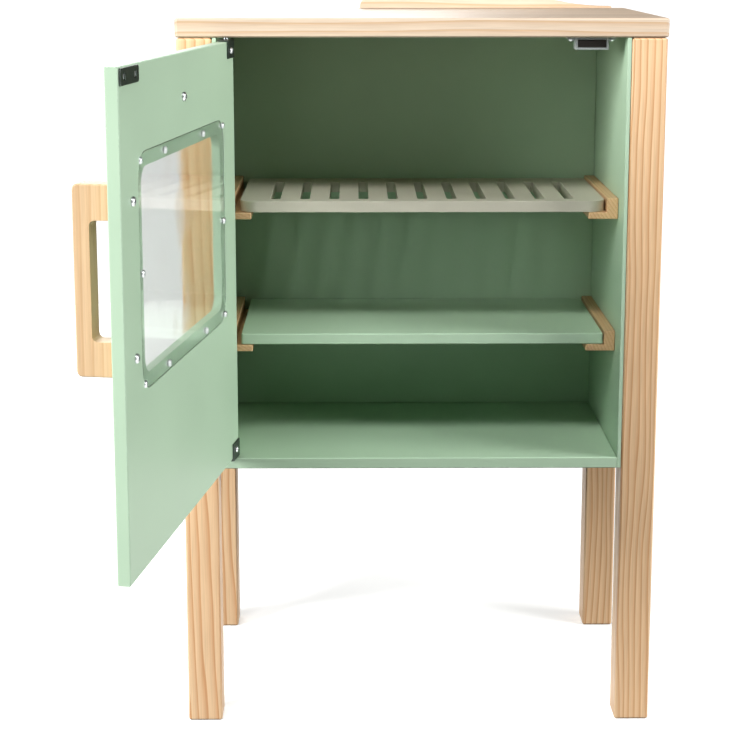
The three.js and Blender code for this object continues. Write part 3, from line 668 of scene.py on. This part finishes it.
# Moulded nylon: a waxy, light grey plastic with a fine mould texture.
nylon = grained("moulded_grey_nylon", "#B9BFC0", 0.0, 0.48, mm(0.7), 0.05, mm(0.03))
# Sintered ferrite: charcoal grey and slightly rough, like fired clay.
ferrite = grained("sintered_ferrite", "#34302E", 0.3, 0.6, mm(0.4), 0.08, mm(0.05))
print("small-part materials:", [m.name for m in (zinc_steel, black_steel, nylon, ferrite)])

# %% [markdown]
# ## Softened edges for boards and posts
#
# Planed and sanded wood has no sharp edges: a router or sandpaper leaves a radius of half a
# millimetre to two millimetres, and that thin, bright line along each edge is what makes a board
# look solid. Each board starts as a copy of its engineering mesh. The copy's loose triangles are
# merged, flat regions become single faces, and a Bevel modifier rounds whatever still turns
# sharply. A rounded edge stays inside the piece's box, so the piece keeps its size.

# %% A function that rounds a copy of a piece
SAME_PLACE = mm(0.01)  # points closer than this are one point


def round_edges(piece, radius, segments, sharper_than):
    """A radius on every edge that turns by more than an angle in degrees. The shading follows the
    large faces, so flats stay flat and only the roundings turn."""
    bevel = piece.modifiers.new("rounded_edges", "BEVEL")
    bevel.width = radius
    bevel.segments = segments
    bevel.limit_method = "ANGLE"
    bevel.angle_limit = math.radians(sharper_than)
    weighted = piece.modifiers.new("weighted_normals", "WEIGHTED_NORMAL")
    weighted.mode = "FACE_AREA"
    weighted.weight = 100
    weighted.keep_sharp = True
    return bevel


def softened(node, name, body, material, radius, segments=3, sharper_than=20):
    """A rounded copy of a node's mesh, which takes the node's place on its body."""
    mesh = bpy.data.meshes.new(name)
    shape = bmesh.new()
    shape.from_mesh(frame["nodes"][node].data)
    bmesh.ops.remove_doubles(shape, verts=shape.verts, dist=SAME_PLACE)
    bmesh.ops.dissolve_limit(
        shape, angle_limit=math.radians(0.5), verts=shape.verts, edges=shape.edges
    )
    # a large face with a hole through it would be filled wrongly, so it is cut into triangles
    bmesh.ops.triangulate(shape, faces=[f for f in shape.faces if len(f.verts) > 4])
    for face in shape.faces:
        face.smooth = True
    shape.to_mesh(mesh)
    shape.free()
    mesh.materials.append(material)
    piece = put_in_scene(name, mesh)
    bevel = round_edges(piece, radius, segments, sharper_than)
    bevel.miter_outer = "MITER_ARC"
    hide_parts(node)
    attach(piece, body)


print("rounding is ready")

# %% [markdown]
# ## The pine frame
#
# Four square legs carry the worktop, and a low, curved upstand runs along its back. The legs' edges
# are planed off by almost a millimetre so that they don't splinter in small hands, and the upstand,
# which is held and leaned on, is rounded more.

# %% Pine frame and worktop
CORNERS = ("front_left", "front_right", "rear_left", "rear_right")
for corner in CORNERS:
    softened(f"leg_{corner}", f"pine_leg_{corner}", "cabinet", leg_pine, mm(0.9))
softened("worktop", "pine_worktop", "cabinet", top_pine, mm(0.8))
softened("upstand", "pine_upstand", "cabinet", top_pine, mm(1.2))

# %% [markdown]
# ## The painted oven box
#
# Fibreboard is sanded only lightly before it is sprayed, so its edges stay crisp: a radius of
# about a third of a millimetre, which the paint's own thickness gives. The rails are beech and
# have been run through a moulder, which leaves them nearly sharp too.

# %% Painted oven box, shelves' rails and tray
for board in ("side_board_left", "side_board_right", "floor_board", "back_board"):
    softened(board, f"painted_{board}", "cabinet", mint_paint, mm(0.3), 2)
for rail in ("rack_rail_left", "rack_rail_right", "tray_rail_left", "tray_rail_right"):
    softened(rail, f"beech_{rail}", "cabinet", rail_beech, mm(0.4), 2)
softened("tray", "painted_tray", "tray", mint_paint, mm(0.4))

# %% [markdown]
# ## The door
#
# The door is one painted board with a window cut through it and a rebate for the acrylic pane. The
# handle is the piece that is gripped most, so it has the largest radius of all. The knob on the
# outer face already has a round rim, and needs only its remaining edges eased.

# %% Door, pane and handle
softened("door_panel", "painted_door", "door", mint_paint, mm(0.35), 2)
softened("window_pane", "acrylic_pane", "door", acrylic, mm(0.25), 2)
softened("handle", "beech_handle", "door", handle_beech, mm(1.4), 4)
softened("knob", "beech_knob", "knob", handle_beech, mm(0.8))

# %% [markdown]
# ## Hinges, strike plate, catch and dowels
#
# The door turns on two steel pins in nylon bushes, held by folded brackets. A magnet under the
# worktop pulls on the dark strike plate. Pressed steel gets a small radius from the punch, and a
# moulded part gets one from its mould, so both are rounded in the same way as the boards. The
# dowels that hold the legs to the worktop are hidden. Their ends are rounded so that they start
# easily.

# %% Hinges, strike plate, catch and dowels
for end in ("top", "bottom"):
    bracket = f"pivot_bracket_{end}"
    pin = f"pivot_pin_{end}"
    bush = f"pivot_bush_{end}"
    softened(bracket, f"steel_bracket_{end}", "door", black_steel, mm(0.25), 2)
    softened(pin, f"steel_pin_{end}", "door", zinc_steel, mm(0.3), 2, 40)
    softened(bush, f"nylon_bush_{end}", "cabinet", nylon, mm(0.2), 2, 40)
softened("strike_plate", "steel_strike_plate", "door", black_steel, mm(0.3), 2, 40)
softened("catch_body", "nylon_catch", "cabinet", nylon, mm(0.5))
softened("catch_magnet", "ferrite_magnet", "cabinet", ferrite, mm(0.3), 2)
for corner in CORNERS:
    dowel = f"dowel_{corner}"
    softened(dowel, f"beech_{dowel}", "cabinet", handle_beech, mm(0.6), 2, 40)

# %% [markdown]
# ## One tree for every screw
#
# Screws repeat, so they are made by Geometry Nodes: one screw is modelled once and copied to every
# place that needs one. Three small helpers serve every such tree. The first opens it with its named
# inputs, the second closes it with real geometry and a material, and the third runs it on a list of
# points and keeps the plain mesh that it makes.

# %% Helpers for geometry trees
def geometry_tree(name, inputs):
    """A geometry tree with a geometry input and output, and a named input of each kind given."""
    tree = bpy.data.node_groups.new(name, "GeometryNodeTree")
    tree.interface.new_socket("Geometry", in_out="INPUT", socket_type="NodeSocketGeometry")
    for label, kind in inputs.items():
        tree.interface.new_socket(label, in_out="INPUT", socket_type=f"NodeSocket{kind}")
    tree.interface.new_socket("Geometry", in_out="OUTPUT", socket_type="NodeSocketGeometry")
    return tree, add_node(tree, "NodeGroupInput").outputs


def finish_tree(tree, geometry, material):
    """Real geometry instead of instances, with its material, out of the tree."""
    real = add_node(tree, "GeometryNodeRealizeInstances", {}, {"Geometry": geometry})
    named = add_node(
        tree,
        "GeometryNodeSetMaterial",
        {},
        {"Geometry": real.outputs["Geometry"], "Material": material},
    )
    add_node(tree, "NodeGroupOutput", {}, {0: named.outputs["Geometry"]})


def grow(tree, points, values):
    """The mesh that a tree makes from a list of points, with its inputs set by name."""
    seed_mesh = bpy.data.meshes.new("places")
    seed_mesh.from_pydata([tuple(p) for p in points], [], [])
    host = put_in_scene("places", seed_mesh)
    modifier = host.modifiers.new(tree.name, "NODES")
    modifier.node_group = tree
    sockets = {s.name: s.identifier for s in tree.interface.items_tree if s.in_out == "INPUT"}
    for label, value in values.items():
        modifier[sockets[label]] = value
    host.update_tag()
    depsgraph = bpy.context.evaluated_depsgraph_get()
    grown = bpy.data.meshes.new_from_object(host.evaluated_get(depsgraph), depsgraph=depsgraph)
    host.modifiers.clear()
    bpy.data.objects.remove(host)
    bpy.data.meshes.remove(seed_mesh)
    return grown


print("helpers for geometry trees are ready")

# %% [markdown]
# ## The recess for the driver
#
# A cross-head driver turns these screws. Two crossed bars are cut out of the head. The real recess
# tapers, but it is so small that a straight one looks the same.

# %% The cross recess
def cross_recess(tree, head, radius, height):
    """Two crossed bars, cut a little more than half as deep as the head is high. Their length
    and breadth go by the head's radius, and their height by its height."""
    arm = add_node(tree, "ShaderNodeMath", {"operation": "MULTIPLY"}, {0: radius, 1: 1.15})
    breadth = add_node(tree, "ShaderNodeMath", {"operation": "MULTIPLY"}, {0: radius, 1: 0.26})
    depth = add_node(tree, "ShaderNodeMath", {"operation": "MULTIPLY"}, {0: height, 1: 1.2})
    lift = add_node(tree, "ShaderNodeCombineXYZ", {}, {"Z": height})
    cut = add_node(tree, "GeometryNodeMeshBoolean", {"operation": "DIFFERENCE", "solver": "EXACT"})
    tree.links.new(head, cut.inputs["Mesh 1"])
    for long_side, short_side in (("X", "Y"), ("Y", "X")):
        size = add_node(
            tree,
            "ShaderNodeCombineXYZ",
            {},
            {
                long_side: arm.outputs["Value"],
                short_side: breadth.outputs["Value"],
                "Z": depth.outputs["Value"],
            },
        )
        bar = add_node(tree, "GeometryNodeMeshCube", {}, {"Size": size.outputs["Vector"]})
        raised = add_node(
            tree,
            "GeometryNodeTransform",
            {},
            {"Geometry": bar.outputs["Mesh"], "Translation": lift.outputs["Vector"]},
        )
        tree.links.new(raised.outputs["Geometry"], cut.inputs["Mesh 2"])
    return cut.outputs["Mesh"]


print("the recess is cut by two crossed bars")

# %% [markdown]
# ## The screw's head
#
# The head is a pan head, a low dome that is pressed cold from wire. A disc is pulled up in steps
# and each step is made narrower, which gives the dome with few faces.

# %% The screw's head
# each step: how much of the height it adds, and how narrow the top then becomes
DOME_STEPS = ((0.3, 0.985), (0.3, 0.93), (0.25, 0.82), (0.15, 0.62))


def screw_head(tree, radius, height):
    """A low dome with a cross recess, standing on the ground plane."""
    disc = add_node(
        tree, "GeometryNodeMeshCircle", {"fill_type": "NGON"}, {"Vertices": 28, "Radius": radius}
    ).outputs["Mesh"]
    underside = add_node(tree, "GeometryNodeFlipFaces", {}, {"Mesh": disc}).outputs["Mesh"]
    dome = disc
    top = True
    for rise, narrowing in DOME_STEPS:
        step = add_node(tree, "ShaderNodeMath", {"operation": "MULTIPLY"}, {0: height, 1: rise})
        pulled = add_node(
            tree,
            "GeometryNodeExtrudeMesh",
            {"mode": "FACES"},
            {
                "Mesh": dome,
                "Selection": top,
                "Offset Scale": step.outputs["Value"],
                "Individual": False,
            },
        )
        top = pulled.outputs["Top"]
        dome = add_node(
            tree,
            "GeometryNodeScaleElements",
            {"domain": "FACE"},
            {"Geometry": pulled.outputs["Mesh"], "Selection": top, "Scale": narrowing},
        ).outputs["Geometry"]
    closed = add_node(tree, "GeometryNodeJoinGeometry")
    tree.links.new(dome, closed.inputs["Geometry"])
    tree.links.new(underside, closed.inputs["Geometry"])
    merged = add_node(
        tree,
        "GeometryNodeMergeByDistance",
        {},
        {"Geometry": closed.outputs["Geometry"], "Distance": SAME_PLACE},
    )
    return cross_recess(tree, merged.outputs["Geometry"], radius, height)


print("the dome rises in", len(DOME_STEPS), "steps")

# %% [markdown]
# ## The screw's shank
#
# Only the head of a driven screw shows. A plain rod with a pointed tip is enough for the rest, so
# the thread is left out.

# %% The screw's shank
def screw_shank(tree, radius, length):
    """A straight rod that ends in a point as long as the rod is wide, hanging below the head."""
    tip_length = add_node(tree, "ShaderNodeMath", {"operation": "MULTIPLY"}, {0: radius, 1: 2.0})
    straight = add_node(
        tree,
        "ShaderNodeMath",
        {"operation": "SUBTRACT"},
        {0: length, 1: tip_length.outputs["Value"]},
    ).outputs["Value"]
    rod = add_node(
        tree,
        "GeometryNodeMeshCylinder",
        {"fill_type": "NGON"},
        {"Vertices": 16, "Radius": radius, "Depth": straight},
    )
    tip = add_node(
        tree,
        "GeometryNodeMeshCone",
        {"fill_type": "NGON"},
        {
            "Vertices": 16,
            "Radius Top": mm(0.15),
            "Radius Bottom": radius,
            "Depth": tip_length.outputs["Value"],
        },
    )
    shank = add_node(tree, "GeometryNodeJoinGeometry")
    # a rod is made round its middle, and a tip stands on its base, so it is turned over
    for part, drop, turn in ((rod, -0.5, 0), (tip, -1.0, math.pi)):
        depth = add_node(tree, "ShaderNodeMath", {"operation": "MULTIPLY"}, {0: straight, 1: drop})
        down = add_node(tree, "ShaderNodeCombineXYZ", {}, {"Z": depth.outputs["Value"]})
        placed = add_node(
            tree,
            "GeometryNodeTransform",
            {},
            {
                "Geometry": part.outputs["Mesh"],
                "Translation": down.outputs["Vector"],
                "Rotation": (turn, 0, 0),
            },
        )
        tree.links.new(placed.outputs["Geometry"], shank.inputs["Geometry"])
    return shank.outputs["Geometry"]


print("a shank is a rod and a tip")

# %% [markdown]
# ## The screw tree
#
# Head and shank are joined and copied to every point, with the shank pointing into the board.
# Screws stop at whatever angle they bite, so each copy is turned by a random amount from a fixed
# seed.

# %% The screw tree
def screw_tree():
    """A tree that puts a screw on each point, with its head facing along the axis."""
    sizes = {
        "Head Radius": "Float",
        "Head Height": "Float",
        "Shank Radius": "Float",
        "Shank Length": "Float",
        "Axis": "Vector",
        "Seed": "Int",
        "Material": "Material",
    }
    tree, given = geometry_tree("cross_head_screw", sizes)
    screw = add_node(tree, "GeometryNodeJoinGeometry")
    head = screw_head(tree, given["Head Radius"], given["Head Height"])
    shank = screw_shank(tree, given["Shank Radius"], given["Shank Length"])
    tree.links.new(head, screw.inputs["Geometry"])
    tree.links.new(shank, screw.inputs["Geometry"])
    upright = add_node(
        tree, "FunctionNodeAlignRotationToVector", {"axis": "Z"}, {"Vector": given["Axis"]}
    )
    chance = add_node(
        tree,
        "FunctionNodeRandomValue",
        {"data_type": "FLOAT"},
        {"Min": 0.0, "Max": math.pi / 2, "Seed": given["Seed"]},
    )
    spin = add_node(tree, "ShaderNodeCombineXYZ", {}, {"Z": chance.outputs[1]})
    turned = add_node(
        tree,
        "FunctionNodeRotateRotation",
        {"rotation_space": "LOCAL"},
        {"Rotation": upright.outputs["Rotation"], "Rotate By": spin.outputs["Vector"]},
    )
    copies = add_node(
        tree,
        "GeometryNodeInstanceOnPoints",
        {},
        {
            "Points": given["Geometry"],
            "Instance": screw.outputs["Geometry"],
            "Rotation": turned.outputs["Rotation"],
        },
    )
    finish_tree(tree, copies.outputs["Instances"], given["Material"])
    return tree


screws = screw_tree()
print("nodes in the screw tree:", len(screws.nodes))

# %% [markdown]
# ## Where the screws sit
#
# The door stands open at an angle, so its screws point across the room's axes. The door's inward
# direction is the opposite of the axis that its knob turns about, and the engineering model knows
# that axis. Along any direction, the reach of a screw's mesh tells where its axis and head are.

# %% Directions and reaches
knob_axis = next(Vector(j["axis"]) for j in frame["joints"] if j["name"] == "knob_turn")
inward = -knob_axis.normalized()
upward = Vector((0, 0, 1))


def reach(node, direction):
    """How far a node's mesh lies along a direction, at its nearest and its farthest."""
    steps = [v.co.dot(direction) for v in frame["nodes"][node].data.vertices]
    return min(steps), max(steps)


def head_seats(nodes, axis, head_height):
    """The centre of each screw head's flat underside, for screws whose heads face along axis."""
    is_upright = abs(axis.z) > 0.9
    side = Vector((1, 0, 0)) if is_upright else upward.cross(axis).normalized()
    other = axis.cross(side).normalized()
    seats = []
    for node in nodes:
        flat = [direction * (sum(reach(node, direction)) / 2) for direction in (side, other)]
        seats.append(axis * (reach(node, axis)[1] - head_height) + flat[0] + flat[1])
    return seats


print("the door's inward direction:", [round(c, 3) for c in inward])

# %% [markdown]
# ## Driving the screws
#
# A family of screws has one size. Each family is grown by the tree, with its own sizes as inputs.
# Screws that ride on the same part then become one mesh, so that the part stays one thing to move.
# Shading is smooth over the dome and breaks at the recess, where the steel turns sharply.

# %% Drive screws into a body
def drive(name, body, families, axis, seed):
    """One mesh of every screw of a body. A family is a list of nodes and their shared sizes."""
    joined = bmesh.new()
    replaced = []
    for nodes, sizes in families:
        values = {**sizes, "Axis": axis, "Seed": seed, "Material": zinc_steel}
        joined.from_mesh(grow(screws, head_seats(nodes, axis, sizes["Head Height"]), values))
        replaced.extend(nodes)
    mesh = bpy.data.meshes.new(name)
    joined.to_mesh(mesh)
    joined.free()
    mesh.materials.append(zinc_steel)
    mesh.shade_smooth()
    mesh.set_sharp_from_angle(angle=math.radians(38))
    piece = put_in_scene(name, mesh)
    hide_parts(*replaced)
    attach(piece, body)
    print(name, "holds", len(replaced), "screws,", len(mesh.polygons), "faces")


def sizes_of(head_radius, head_height, shank_radius, shank_length):
    """A screw's sizes, given in mm, under the names of the tree's inputs."""
    return {
        "Head Radius": mm(head_radius),
        "Head Height": mm(head_height),
        "Shank Radius": mm(shank_radius),
        "Shank Length": mm(shank_length),
    }


print("a pane screw, m:", sizes_of(2.6, 1.7, 1.2, 7))

# %% [markdown]
# ## Screws on the door, the knob and the catch
#
# The families differ in size. The pane's ten screws are short, and the handle's two and the knob's
# one are long enough to go right through the door. The strike plate's two have the lowest heads,
# because they come close to the catch when the door is shut.

# %% Screws on the door, the knob and the catch
pane_screws = [f"pane_screw_{number}" for number in range(1, 11)]
handle_screws = ["handle_screw_upper", "handle_screw_lower"]
bracket_screws = ["bracket_screw_top", "bracket_screw_bottom"]
strike_screws = ["strike_screw_1", "strike_screw_2"]
catch_screws = ["catch_screw_1", "catch_screw_2"]
door_families = [
    (pane_screws, sizes_of(2.6, 1.7, 1.2, 7)),
    (handle_screws, sizes_of(3.4, 2, 1.7, 24)),
    (bracket_screws, sizes_of(2.6, 1.5, 1.2, 6.5)),
    (strike_screws, sizes_of(2.2, 0.9, 1.1, 5.5)),
]
drive("door_screws", "door", door_families, inward, 11)
drive("knob_screws", "knob", [(["knob_screw"], sizes_of(3.4, 2, 1.7, 20))], inward, 5)
drive("catch_screws", "cabinet", [(catch_screws, sizes_of(2.5, 1.4, 1.2, 9))], -upward, 3)

# %% [markdown]
# ## The slotted rack
#
# The rack stands for an oven's wire shelf. A real one is a board with eleven identical slots cut by
# a router, so a rule makes it: one slot outline, repeated along a line, is taken out of the board's
# outline, and the flat shape that is left is raised to the board's thickness. The outline comes
# first. Its front corners have a large radius, where a hand takes hold.

# %% The rack's outline
def rack_outline(tree, given):
    """The board's outline, with one radius at the front corners and another at the back."""
    sheet = add_node(
        tree,
        "GeometryNodeCurvePrimitiveQuadrilateral",
        {"mode": "RECTANGLE"},
        {"Width": given["Width"], "Height": given["Depth"]},
    )
    place = add_node(tree, "GeometryNodeInputPosition")
    parts = add_node(tree, "ShaderNodeSeparateXYZ", {}, {"Vector": place.outputs["Position"]})
    in_front = add_node(
        tree, "ShaderNodeMath", {"operation": "LESS_THAN"}, {0: parts.outputs["Y"], 1: 0.0}
    )
    radius = add_node(
        tree,
        "ShaderNodeMix",
        {"data_type": "FLOAT"},
        {
            "Factor": in_front.outputs["Value"],
            "A": given["Back Radius"],
            "B": given["Front Radius"],
        },
    )
    rounded = add_node(
        tree,
        "GeometryNodeFilletCurve",
        {"mode": "POLY"},
        {
            "Curve": sheet.outputs["Curve"],
            "Radius": radius.outputs["Result"],
            "Count": 10,
            "Limit Radius": True,
        },
    )
    return rounded.outputs["Curve"]


print("the outline is ready")

# %% [markdown]
# ## A row of slots
#
# A slot is a long rectangle whose corners have the router bit's radius. A line of points starts
# half a row to the left, so that the slots sit evenly about the middle for any number of them.

# %% The row of slots
def slot_row(tree, given):
    """Copies of one slot's outline, set out evenly from side to side."""
    slot = add_node(
        tree,
        "GeometryNodeCurvePrimitiveQuadrilateral",
        {"mode": "RECTANGLE"},
        {"Width": given["Slot Width"], "Height": given["Slot Length"]},
    )
    rounded = add_node(
        tree,
        "GeometryNodeFilletCurve",
        {"mode": "POLY"},
        {
            "Curve": slot.outputs["Curve"],
            "Radius": given["Slot Radius"],
            "Count": 5,
            "Limit Radius": True,
        },
    )
    gaps = add_node(
        tree, "ShaderNodeMath", {"operation": "SUBTRACT"}, {0: given["Slot Count"], 1: 1.0}
    )
    run = add_node(
        tree,
        "ShaderNodeMath",
        {"operation": "MULTIPLY"},
        {0: gaps.outputs["Value"], 1: given["Slot Pitch"]},
    )
    left = add_node(
        tree, "ShaderNodeMath", {"operation": "MULTIPLY"}, {0: run.outputs["Value"], 1: -0.5}
    )
    start = add_node(
        tree, "ShaderNodeCombineXYZ", {}, {"X": left.outputs["Value"], "Y": given["Slot Offset"]}
    )
    step = add_node(tree, "ShaderNodeCombineXYZ", {}, {"X": given["Slot Pitch"]})
    line = add_node(
        tree,
        "GeometryNodeMeshLine",
        {"mode": "OFFSET"},
        {
            "Count": given["Slot Count"],
            "Start Location": start.outputs["Vector"],
            "Offset": step.outputs["Vector"],
        },
    )
    row = add_node(
        tree,
        "GeometryNodeInstanceOnPoints",
        {},
        {"Points": line.outputs["Mesh"], "Instance": rounded.outputs["Curve"]},
    )
    slots = add_node(
        tree, "GeometryNodeRealizeInstances", {}, {"Geometry": row.outputs["Instances"]}
    )
    return slots.outputs["Geometry"]


print("the row of slots is ready")

# %% [markdown]
# ## The rack tree
#
# Outline and slots are filled as one flat shape. Extruding it leaves its underside open, so a
# turned-over copy closes it, and points that lie in the same place are merged.

# %% The rack tree
def rack_tree():
    """A tree that makes the rack from its sizes, in metres, at each point that it is given."""
    lengths = ["Width", "Depth", "Thickness", "Front Radius", "Back Radius", "Slot Pitch"]
    lengths += ["Slot Width", "Slot Length", "Slot Radius", "Slot Offset"]
    inputs = {label: "Float" for label in lengths}
    inputs["Slot Count"] = "Int"
    inputs["Material"] = "Material"
    tree, given = geometry_tree("slotted_rack", inputs)
    outlines = add_node(tree, "GeometryNodeJoinGeometry")
    tree.links.new(rack_outline(tree, given), outlines.inputs["Geometry"])
    tree.links.new(slot_row(tree, given), outlines.inputs["Geometry"])
    # outlines inside the outer one become holes when the curves are filled
    flat = add_node(
        tree, "GeometryNodeFillCurve", {"mode": "NGONS"}, {"Curve": outlines.outputs["Geometry"]}
    )
    raised = add_node(
        tree,
        "GeometryNodeExtrudeMesh",
        {"mode": "FACES"},
        {
            "Mesh": flat.outputs["Mesh"],
            "Offset Scale": given["Thickness"],
            "Individual": False,
        },
    )
    bottom = add_node(tree, "GeometryNodeFlipFaces", {}, {"Mesh": flat.outputs["Mesh"]})
    closed = add_node(tree, "GeometryNodeJoinGeometry")
    tree.links.new(raised.outputs["Mesh"], closed.inputs["Geometry"])
    tree.links.new(bottom.outputs["Mesh"], closed.inputs["Geometry"])
    solid = add_node(
        tree,
        "GeometryNodeMergeByDistance",
        {},
        {"Geometry": closed.outputs["Geometry"], "Distance": SAME_PLACE},
    )
    placed = add_node(
        tree,
        "GeometryNodeInstanceOnPoints",
        {},
        {"Points": given["Geometry"], "Instance": solid.outputs["Geometry"]},
    )
    finish_tree(tree, placed.outputs["Instances"], given["Material"])
    return tree


rack_rule = rack_tree()
print("nodes in the rack tree:", len(rack_rule.nodes))

# %% [markdown]
# ## The rack itself
#
# Its width, depth and thickness come from the engineering model. The slots are set out between two
# margins, and the paint's thickness rounds every edge a little, as on the other boards.

# %% Raise the rack and round its edges
rack_low, rack_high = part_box("rack")
rack_size = rack_high - rack_low
slot_count = 11
slot_length = mm(108.5)
front_margin = mm(14.5)
side_margin = mm(28.5)
rack_values = {
    "Width": rack_size.x,
    "Depth": rack_size.y,
    "Thickness": rack_size.z,
    "Front Radius": mm(14),
    "Back Radius": mm(3),
    "Slot Count": slot_count,
    "Slot Pitch": (rack_size.x - 2 * side_margin) / (slot_count - 1),
    "Slot Width": mm(8.2),
    "Slot Length": slot_length,
    "Slot Radius": mm(2.4),
    "Slot Offset": front_margin + slot_length / 2 - rack_size.y / 2,
    "Material": grey_paint,
}
rack_middle = (rack_low + rack_high) / 2
rack_mesh = grow(rack_rule, [(rack_middle.x, rack_middle.y, rack_low.z)], rack_values)
rack_mesh.name = "painted_rack"
rack_mesh.shade_smooth()
rack = put_in_scene("painted_rack", rack_mesh)
round_edges(rack, mm(0.4), 2, 40)
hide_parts("rack")
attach(rack, "rack")
print("rack faces:", len(rack_mesh.polygons))
print("slot pitch, mm:", round(1000 * rack_values["Slot Pitch"], 2))

# %% [markdown]
# ## A last look at the sizes
#
# The finished pieces must fill the same box as the engineering model, because other scenes place
# the unit by that box. Both boxes are written down as plain lists.

# %% Print both boxes
bpy.context.view_layer.update()
made_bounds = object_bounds()
sizes = {
    "cad": [list(corner) for corner in cad_bounds],
    "visual": [list(corner) for corner in made_bounds],
}
for label, corners in sizes.items():
    print(label, "box, mm:", [[round(1000 * value, 2) for value in corner] for corner in corners])
